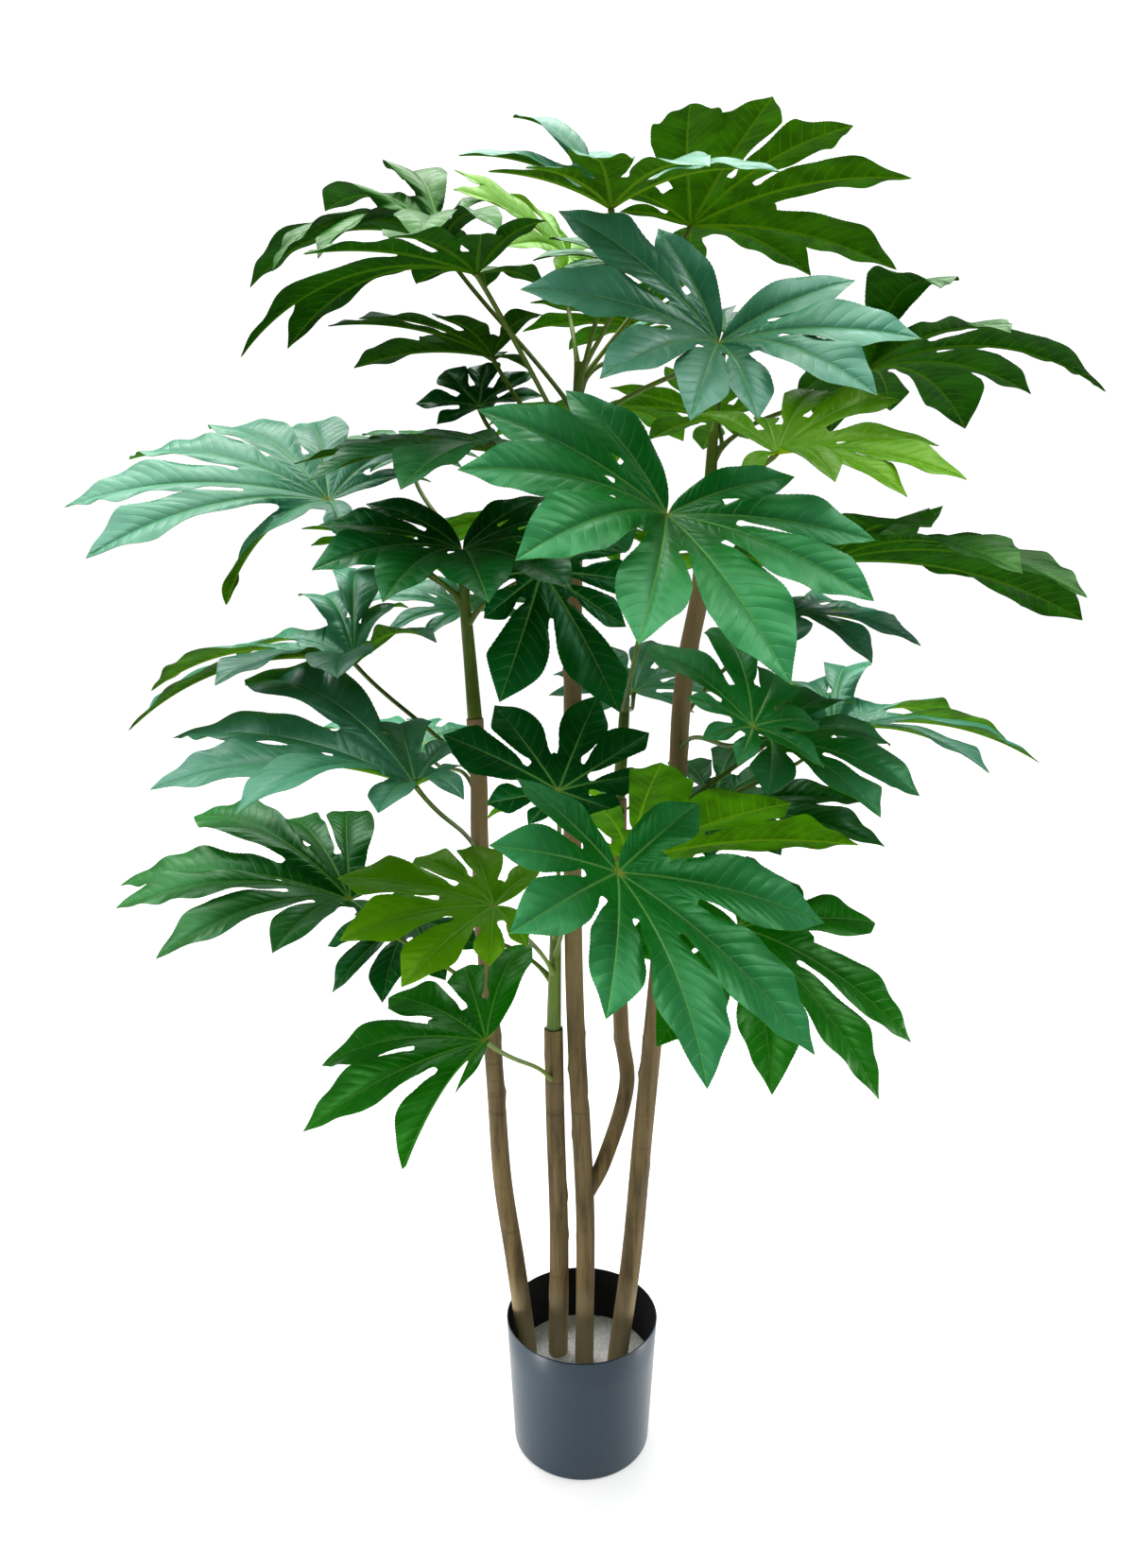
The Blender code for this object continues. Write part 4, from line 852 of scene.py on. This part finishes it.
class Sheet:
    """A blade's upper side as one sheet of points and faces, grown lobe by lobe."""

    def __init__(self, lobes, seed):
        self.draw = random.Random(seed * 7 + 3)
        self.points = [np.zeros(3)]
        self.veins = [(0.0, 0.0)]
        self.places = [(0.0, 0.0)]
        self.thick = [BLADE_MIDDLE + RIB_DEPTH]
        self.faces = []
        longest = max(lobe.length for lobe in lobes)
        web_veins = max(LEAST_WEB_VEINS, round(WEB_SHARE * longest / VEIN_SPACING))
        self.web_rows = web_veins * ROWS_PER_VEIN
        webs = self.shared_edges(lobes)
        for lobe, low_web, high_web in zip(lobes, webs[:-1], webs[1:]):
            self.add_lobe(lobe, low_web, high_web)

    def add(self, point, vein, place, thick):
        self.points.append(point)
        self.veins.append(vein)
        self.places.append(place)
        self.thick.append(thick)
        return len(self.points) - 1

    def web_steps(self, whole):
        """Equal steps from the hub up to the whole length, one for each row of the web."""
        return whole * np.arange(1, self.web_rows + 1) / self.web_rows

    def shared_edges(self, lobes):
        """For each neighbour pair, the points of the edge that they share, from the hub to the notch."""
        share = self.web_steps(1)
        made = [None]
        for one, other in zip(lobes[:-1], lobes[1:]):
            x = share * one.sinus(1)
            mine = one.place(x, x * math.tan(one.half_gaps[1]), 0 * x)
            x = share * other.sinus(0)
            theirs = other.place(x, -x * math.tan(other.half_gaps[0]), 0 * x)
            made.append(self.add_edge((mine + theirs) / 2, one))
        made.append(None)
        return made

    def add_edge(self, points, lobe):
        edge = []
        for i, (point, share) in enumerate(zip(points, self.web_steps(1)), start=1):
            wide = share * lobe.sinus(1) * math.tan(lobe.half_gaps[1])
            place = (1.0, share * lobe.sinus(1) / lobe.length)
            edge.append(self.add(point, (wide, i / ROWS_PER_VEIN), place, BLADE_MIDDLE))
        return edge

    def web_end(self, lobe, which):
        """Where on the midrib the slanted row to the end of a notch starts."""
        sinus = lobe.sinus(which)
        return sinus - SLANT * sinus * math.tan(lobe.half_gaps[which])

    def add_lobe(self, lobe, low_web, high_web):
        """The midrib, both halves and the tip of one lobe. m holds the rows' starts on the midrib."""
        shared_m = sum(self.web_end(lobe, which) for which in (0, 1)) / 2
        web_m = self.web_steps(shared_m)
        free = (lobe.length - shared_m) * LAST_ROW
        free_rows = max(LEAST_FREE_ROWS, round(free / VEIN_SPACING * ROWS_PER_VEIN))
        free_m = shared_m + free * np.arange(1, free_rows + 1) / free_rows
        near = shared_m + free / free_rows * np.array(NEAR_ROWS)
        m = np.concatenate([web_m, near, free_m])
        phase = np.interp(m, np.concatenate([[0], web_m, free_m]),
                          np.arange(len(web_m) + len(free_m) + 1) / ROWS_PER_VEIN)
        groove = -GROOVE * np.minimum(1, m / GROOVE_STARTS) * (1 - GROOVE_FADES * m / lobe.length)
        rib = BLADE_MIDDLE + RIB_DEPTH * (1 - RIB_THINS * m / lobe.length)
        middle = [0]
        for point, p, along, thick in zip(lobe.place(m, 0 * m, groove), phase, m / lobe.length, rib):
            middle.append(self.add(point, (0.0, p), (0.0, along), thick))
        tip_point = lobe.place(np.array([lobe.length]), np.zeros(1), np.zeros(1))[0]
        tip = self.add(tip_point, (0.0, phase[-1]), (0.5, 1.0), BLADE_EDGE)
        for which, web in ((0, low_web), (1, high_web)):
            self.add_half(lobe, which, web, m, phase, middle, tip)

    def add_half(self, lobe, which, web, m, phase, middle, tip):
        """One half of a lobe, in slanted rows from the midrib to the edge."""
        rows = len(m)
        side = 2 * which - 1
        free = web is None
        if free:
            edge_x = lobe.edge_at(m, which, True)
        else:
            last = m[self.web_rows - 1]
            moved = np.interp(m, [last, lobe.length], [self.web_end(lobe, which), lobe.length])
            edge_x = lobe.edge_at(moved, which, False)
            edge_x[:self.web_rows] = self.web_steps(lobe.sinus(which))
        wide = np.maximum(lobe.margin(edge_x, which, free), LEAST_WIDTH)
        rib_share = np.minimum(WIDEST_RIB, RIB * (1 - RIB_NARROWS * m / lobe.length) / wide)
        share = np.column_stack([rib_share, *[np.full(rows, c) for c in COLUMNS], np.ones(rows)])
        x = m[:, None] + (edge_x - m)[:, None] * share ** COLUMN_CURVE
        y = side * wide[:, None] * share
        shift = np.zeros((rows, share.shape[1], 3))
        if not free:
            ideal = lobe.place(edge_x, side * wide, 0 * wide)
            offset = np.array([self.points[i] for i in web]) - ideal[:self.web_rows]
            fade = np.exp(-(edge_x[self.web_rows:] - lobe.sinus(which)) / (PULL_FADES * lobe.length))
            offset = np.vstack([offset, fade[:, None] * offset[-1]])
            shift = offset[:, None, :] * (share ** 2)[..., None]
        lift = self.lift(m, phase, wide, share, free)
        points = lobe.place(x, y, lift) + shift
        thick = BLADE_MIDDLE + (BLADE_EDGE - BLADE_MIDDLE) * share
        grid = [[0] * share.shape[1]]
        for i in range(rows):
            row = []
            for k in range(share.shape[1]):
                if k == share.shape[1] - 1 and not free and i < self.web_rows:
                    row.append(web[i])
                    continue
                row.append(self.add(points[i, k], (share[i, k] * wide[i], phase[i]),
                                    (share[i, k], m[i] / lobe.length), thick[i, k]))
            grid.append(row)
        teeth = self.add_teeth(lobe, side, edge_x, wide, phase, free, lift[:, -1], shift[:, -1])
        self.fill_half(grid, middle, tip, teeth, side)

    def lift(self, m, phase, wide, share, free):
        """How far the points stand above the plain blade: puckers, a crowned half and a waved margin."""
        size = np.minimum(1.0, wide / FULL_RELIEF_WIDTH)[:, None]
        bump = np.sin(math.pi * phase)[:, None] ** 2 * (share ** 0.6) * (1 - 0.75 * share ** 2)
        crown = CROWN * wide[:, None] * (1 - (2 * share - 0.9) ** 2)
        start = 0.0 if free else m[self.web_rows - 1]
        length = self.draw.uniform(*WAVE_LENGTHS)
        turn = self.draw.uniform(0, 2 * math.pi)
        waved = share ** 2.5 * np.clip((m - start) / WAVE_STARTS, 0, 1)[:, None]
        wave = np.sin(2 * math.pi * m / length + turn)[:, None] * waved
        inner = 1.0
        if not free:
            puckered = np.clip((m - start) / PUCKER_STARTS, 0, 1)[:, None]
            inner = puckered * share ** 2 + 1 - share ** 2
        return (PUCKER * size * bump + crown) * inner + WAVE * size * wave

    def add_teeth(self, lobe, side, edge_x, wide, phase, free, lift, shift):
        """The points of the fine forward teeth, one between each two rows of the free edge."""
        made = {}
        first = 2 if free else self.web_rows + len(NEAR_ROWS) + 1
        for i in range(first, len(edge_x) - 1):
            x, width, above, moved = ((1 - TOOTH_AT) * row[i] + TOOTH_AT * row[i + 1]
                                      for row in (edge_x, wide, lift, shift))
            tooth = min(TOOTH, TOOTH_SHARE * width)
            point = lobe.place(np.array([x]), np.array([side * (width + tooth)]), np.array([above]))[0]
            made[i] = self.add(point + moved, (width, phase[i]), (1.0, x / lobe.length), BLADE_EDGE)
        return made

    def fill_half(self, grid, middle, tip, teeth, side):
        """The faces of one half of a lobe."""
        faces = []
        columns = len(grid[0])
        for i in range(len(grid) - 1):
            low = [middle[i], *grid[i]]
            high = [middle[i + 1], *grid[i + 1]]
            for k in range(columns):
                if i == 0:
                    faces.append((0, high[k], high[k + 1]))
                elif k == columns - 1 and i - 1 in teeth:
                    faces.append((low[k], high[k], high[k + 1], teeth[i - 1]))
                    faces.append((low[k], teeth[i - 1], low[k + 1]))
                else:
                    faces.append((low[k], high[k], high[k + 1], low[k + 1]))
        last = [middle[-1], *grid[-1]]
        for k in range(columns):
            faces.append((last[k], tip, last[k + 1]))
        if side < 0:
            faces = [face[::-1] for face in faces]
        self.faces += faces


def vertex_normals(points, faces):
    """The normal at each point, from the faces round it."""
    total = np.zeros_like(points)
    for size in (3, 4):
        group = np.array([face for face in faces if len(face) == size])
        if len(group) == 0:
            continue
        one = points[group[:, 2]] - points[group[:, 0]]
        other = points[group[:, -1]] - points[group[:, 1]]
        for k in range(size):
            np.add.at(total, group[:, k], np.cross(one, other))
    return total / np.maximum(np.linalg.norm(total, axis=1), 1e-12)[:, None]


def open_edges(faces):
    """The edges that only one face has, in that face's direction."""
    edges = {}
    for face in faces:
        for a, b in zip(face, face[1:] + face[:1]):
            if (b, a) in edges:
                del edges[(b, a)]
            else:
                edges[(a, b)] = True
    return list(edges)


def stem_at(path, height):
    """The point of a stem's middle line at a height."""
    p = np.array(path, float)
    return np.array([np.interp(height, p[:, 2], p[:, k]) for k in range(3)])


def stalk(leaf, root_radius):
    """A leaf's stalk, sheathed at its root and thicker again under the blade."""
    axes = leaf_axes(leaf)
    start = stem_at(STEM_LINES[leaf.carrier], leaf.height)
    end = np.array(leaf.hub) - STALK_STOPS_BELOW * axes[2]
    away = unit(end - start)
    outward = unit(np.array([away[0], away[1], 0.0]))
    leave = unit(np.array(leaf.changes.get("leave", LEAVE_OUT * outward + LEAVE_UP * UP), float))
    arrive = unit(unit(ARRIVE_ALONG * axes[0] + ARRIVE_UP * axes[2]) + ARRIVE_STRAIGHT * away)
    missing = ARRIVE_LEAST - arrive @ axes[2]
    if missing > 0:
        arrive = unit(arrive + missing * axes[2])
    path = bow(start, leave, arrive, end, STALK_STEPS)
    run = run_along(path)
    radii = STALK_RADIUS + (root_radius - STALK_RADIUS) * np.exp(-(run / SHEATH_LENGTH) ** 2)
    radii = radii + (STALK_END_RADIUS - STALK_RADIUS) * np.exp(-((run[-1] - run) / HEAD_LENGTH) ** 2)
    ridges = 1 + RIDGE_HEIGHT * np.cos(STALK_RIDGES * angles_round(STALK_SIDES))
    return tube(path, radii[:, None] * ridges[None, :], STALK_SIDES, last_normal=axes[2])


def leaf_piece(leaf, seed, finishes, stalk_finish):
    """One leaf as a closed solid, with its veins' places kept for the materials, and with its own stalk where
    a trunk carries it."""
    sheet = Sheet(lobes_of(leaf, seed), seed)
    top = np.array(sheet.points)
    under = top - vertex_normals(top, sheet.faces) * np.array(sheet.thick)[:, None]
    below = len(top)
    rim = [(b, a, a + below, b + below) for a, b in open_edges(sheet.faces)]
    faces = sheet.faces + [tuple(i + below for i in face[::-1]) for face in sheet.faces] + rim
    slots = [0] * len(sheet.faces) + [1] * (len(sheet.faces) + len(rim))
    points = np.array(leaf.hub) + np.vstack([top, under]) @ leaf_axes(leaf)
    if leaf.carrier not in SHOOTS:
        stalk_points, stalk_faces = stalk(leaf, STALK_PLUG_RADIUS)
        points, faces = merged([(points, faces), (stalk_points, stalk_faces)])
        slots += [2] * len(stalk_faces)
        finishes = [*finishes, stalk_finish]
    piece = new_piece(leaf.name.replace("leaf", "blade"), points, faces, finishes, slots)
    unveined = np.zeros((len(points) - 2 * below, 2))
    corners = np.empty(len(piece.data.loops), np.int64)
    piece.data.loops.foreach_get("vertex_index", corners)
    for layer, values in (("veins", sheet.veins), ("place", sheet.places)):
        per_point = np.vstack([values, values, unveined])
        piece.data.uv_layers.new(name=layer).uv.foreach_set("vector", per_point[corners].ravel())
    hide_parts(leaf.name)


# Stems

def shoot_piece(name, leaves, finish):
    """A green shoot and the stalks that spring from it."""
    path, low, high = SHOOTS[name]
    line = smooth_path(path, SHOOT_STEPS)
    parts = [tube(line, np.linspace(low, high, len(line)), SHOOT_SIDES)]
    parts += [stalk(leaf, STALK_ROOT_RADIUS) for leaf in leaves if leaf.carrier == name]
    points, faces = merged(parts)
    piece = new_piece(name + "_fine", points, faces, [finish])
    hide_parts(name)


def trunk_tube(path, low, high, seed):
    """A trunk's tube with slight swellings and a few knots."""
    draw = random.Random(seed)
    line = smooth_path(path, TRUNK_STEPS)
    run = run_along(line)
    base = np.interp(run, [0, run[-1]], [low, high])
    turns = angles_round(TRUNK_SIDES)
    radii = np.repeat(base[:, None], TRUNK_SIDES, axis=1)
    for lobes in OVAL_LOBES:
        phase = draw.uniform(0, 2 * math.pi)
        drift = draw.uniform(8, 18)
        radii *= 1 + OVAL_SHARE * np.cos(lobes * turns[None, :] + phase + drift * run[:, None])
    for _ in range(int(run[-1] / KNOT_SPACING)):
        at = draw.uniform(0.03, run[-1] - 0.01)
        round_at = draw.uniform(0, 2 * math.pi)
        far = np.angle(np.exp(1j * (turns - round_at)))
        spot = np.exp(-((run[:, None] - at) / KNOT_LENGTH) ** 2 - (far[None, :] / KNOT_ANGLE) ** 2)
        radii += draw.choice(KNOT_HEIGHTS) * spot
    return tube(line, radii, TRUNK_SIDES)


def trunk_pieces(finish):
    for seed, (name, row) in enumerate(TRUNKS.items(), start=1):
        parts = [trunk_tube(*row, seed)]
        if name == "trunk_centre":
            parts.append(trunk_tube(*FORK, FORK_SEED))
        points, faces = merged(parts)
        piece = new_piece(name + "_fine", points, faces, [finish])
        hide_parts(name)


# Pot and fill

def pot_piece(finish):
    """The pot's whole wall, from the recess under its base round the foot and the lip to its floor."""
    base = POT_BASE_RADIUS
    profile = [(0, POT_RECESS), (base - POT_FOOT_RING[0], POT_RECESS), (base - POT_FOOT_RING[1], 0.0)]
    for step in range(0, 7):
        a = math.pi / 2 * step / 6
        profile.append((base - POT_FOOT + POT_FOOT * math.sin(a), POT_FOOT - POT_FOOT * math.cos(a)))
    for share in (0.25, 0.5, 0.75):
        profile.append((base + (POT_RIM_RADIUS - base) * share, POT_FOOT + (POT_HEIGHT - POT_FOOT) * share))
    profile += [(POT_RIM_RADIUS - inward, POT_HEIGHT - down) for inward, down in POT_LIP]
    inner = base - POT_WALL
    profile += [(inner, POT_FLOOR + POT_CORNER), (inner - POT_CORNER, POT_FLOOR), (0, POT_FLOOR)]
    points, faces = turned(profile, POT_SIDES)
    piece = new_piece("pot_fine", points, faces, [finish])
    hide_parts("pot")


def fill_lift(points):
    """How far the cast top stands above its level: random low waves, and a collar round each trunk."""
    rough = random.Random(5)
    lift = np.zeros(len(points))
    for _ in range(FILL_WAVES):
        wave = np.array([rough.gauss(0, 1), rough.gauss(0, 1)]) * rough.choice(FILL_WAVE_SCALES)
        size = FILL_USUAL_SCALE / np.linalg.norm(wave)
        lift += FILL_WAVE_HEIGHT * size * np.sin(points @ wave + rough.uniform(0, 2 * math.pi))
    for path, low, _ in TRUNKS.values():
        far = np.linalg.norm(points - np.array(path[1][:2]), axis=1)
        lift += COLLAR_HEIGHT * np.exp(-(np.maximum(far - low, 0) / COLLAR_WIDTH) ** 2)
    return np.clip(lift, *FILL_LIMITS)


def fill_piece(finish):
    """The fill as a closed solid that narrows downwards inside the pot, under an uneven cast top."""
    sides = FILL_SIDES
    radius = POT_BASE_RADIUS - POT_WALL + FILL_TOP * POT_SLOPE - FILL_GAP
    points = [(0.0, 0.0, FILL_TOP)]
    for i in range(1, FILL_RINGS + 1):
        r = radius * i / FILL_RINGS
        points += [(r * math.cos(a), r * math.sin(a), FILL_TOP) for a in angles_round(sides)]
    points = np.array(points)
    points[:, 2] += fill_lift(points[:, :2])
    faces = [(0, 1 + k, 1 + (k + 1) % sides) for k in range(sides)]
    for i in range(FILL_RINGS - 1):
        for k in range(sides):
            a = 1 + i * sides + k
            b = 1 + i * sides + (k + 1) % sides
            faces.append((a, a + sides, b + sides, b))
    last = 1 + (FILL_RINGS - 1) * sides
    start = len(points)
    low = POT_BASE_RADIUS - POT_WALL - FILL_LOW_GAP
    points = np.vstack([points, [(low * math.cos(a), low * math.sin(a), POT_FLOOR + POT_CORNER)
                                 for a in angles_round(sides)]])
    for k in range(sides):
        after = (k + 1) % sides
        faces.append((last + k, start + k, start + after, last + after))
    faces.append(tuple(start + k for k in range(sides))[::-1])
    piece = new_piece("fill_fine", points, faces, [finish])
    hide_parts("fill")


# Stage

def add_camera():
    data = bpy.data.cameras.new("camera")
    data.sensor_fit = "VERTICAL"
    data.sensor_height = SENSOR
    data.lens = SENSOR * FOCAL_PIXELS / FRAME_HEIGHT_PIXELS
    made = add_object("camera", data)
    made.location = CAMERA_PLACE
    made.rotation_euler = (math.radians(90 - CAMERA_PITCH), 0, 0)
    bpy.context.scene.camera = made


def add_lamp(name, place, target, size, power, mirrored):
    data = bpy.data.lights.new(name, "AREA")
    data.shape = "DISK"
    data.size = size
    data.energy = power
    made = add_object(name, data)
    made.location = place
    toward = np.array(target, float) - np.array(place, float)
    flat = math.hypot(toward[0], toward[1])
    made.rotation_euler = (math.atan2(flat, -toward[2]), 0, math.atan2(-toward[0], toward[1]))
    made.visible_glossy = mirrored
    made.visible_camera = False


def add_sun():
    """A broad soft light from far away, whose shadow has no hard edge."""
    data = bpy.data.lights.new("sky", "SUN")
    data.angle = math.radians(SUN_SPREAD)
    data.energy = SUN_STRENGTH
    made = add_object("sky", data)
    made.rotation_euler = (math.radians(90 - SUN_HEIGHT), 0, math.radians(SUN_HEADING))
    made.visible_glossy = False


def add_world():
    """White to the camera, and on the plant a soft light that comes mostly from above."""
    world = bpy.data.worlds.new("studio")
    world.use_nodes = True
    bpy.context.scene.world = world
    tree = world.node_tree
    toward = add_node(tree, "ShaderNodeTexCoord", {}).outputs["Generated"]
    way = parts_of(tree, toward)
    above = ramp(tree, way["Z"], SKY_LOW, 1.0, SKY_DIM, SKY_BRIGHT)
    overhead = times(tree, ramp(tree, way["Z"], *MIRRORED_HEIGHTS), ramp(tree, way["Y"], *MIRRORED_DEPTHS))
    windows = ramp(tree, noise(tree, toward, WINDOW_SCALE, 1.0), 0.40, 0.62, *WINDOW_SHADES)
    mirrored = ramp(tree, overhead, 0.0, 1.0, MIRRORED_DIM, MIRRORED_BRIGHT)
    mirrored = times(tree, mirrored, windows)
    rays = add_node(tree, "ShaderNodeLightPath", {}).outputs
    change = times(tree, rays["Is Glossy Ray"], maths(tree, "SUBTRACT", mirrored, above))
    strength = maths(tree, "ADD", maths(tree, "ADD", above, change), rays["Is Camera Ray"])
    set_inputs(tree, tree.nodes["Background"], {"Color": WHITE, "Strength": strength})


def add_floor():
    half = FLOOR_HALF
    corners = [(-half, -half, 0), (half, -half, 0), (half, half, 0), (-half, half, 0)]
    mesh = bpy.data.meshes.new("floor")
    mesh.from_pydata(corners, [], [(0, 1, 2, 3)])
    mesh.materials.append(floor_material())
    add_object("floor", mesh)


leaf_finishes = {tone: [leaf_top_material(tone), leaf_under_material(tone)] for tone in PAINTED_LIGHT_TONES}
stalk_green = stalk_material()
all_leaves = [Leaf(*row) for row in LEAVES]

for number, one_leaf in enumerate(all_leaves, start=1):
    leaf_piece(one_leaf, number, leaf_finishes[one_leaf.tone], stalk_green)
for shoot_name in SHOOTS:
    shoot_piece(shoot_name, all_leaves, stalk_green)
trunk_pieces(bark_material())
pot_piece(pot_material())
fill_piece(fill_material())

add_camera()
add_world()
add_floor()
add_sun()
for lamp in LAMPS:
    add_lamp(*lamp)
bpy.context.scene.view_settings.view_transform = "Standard"
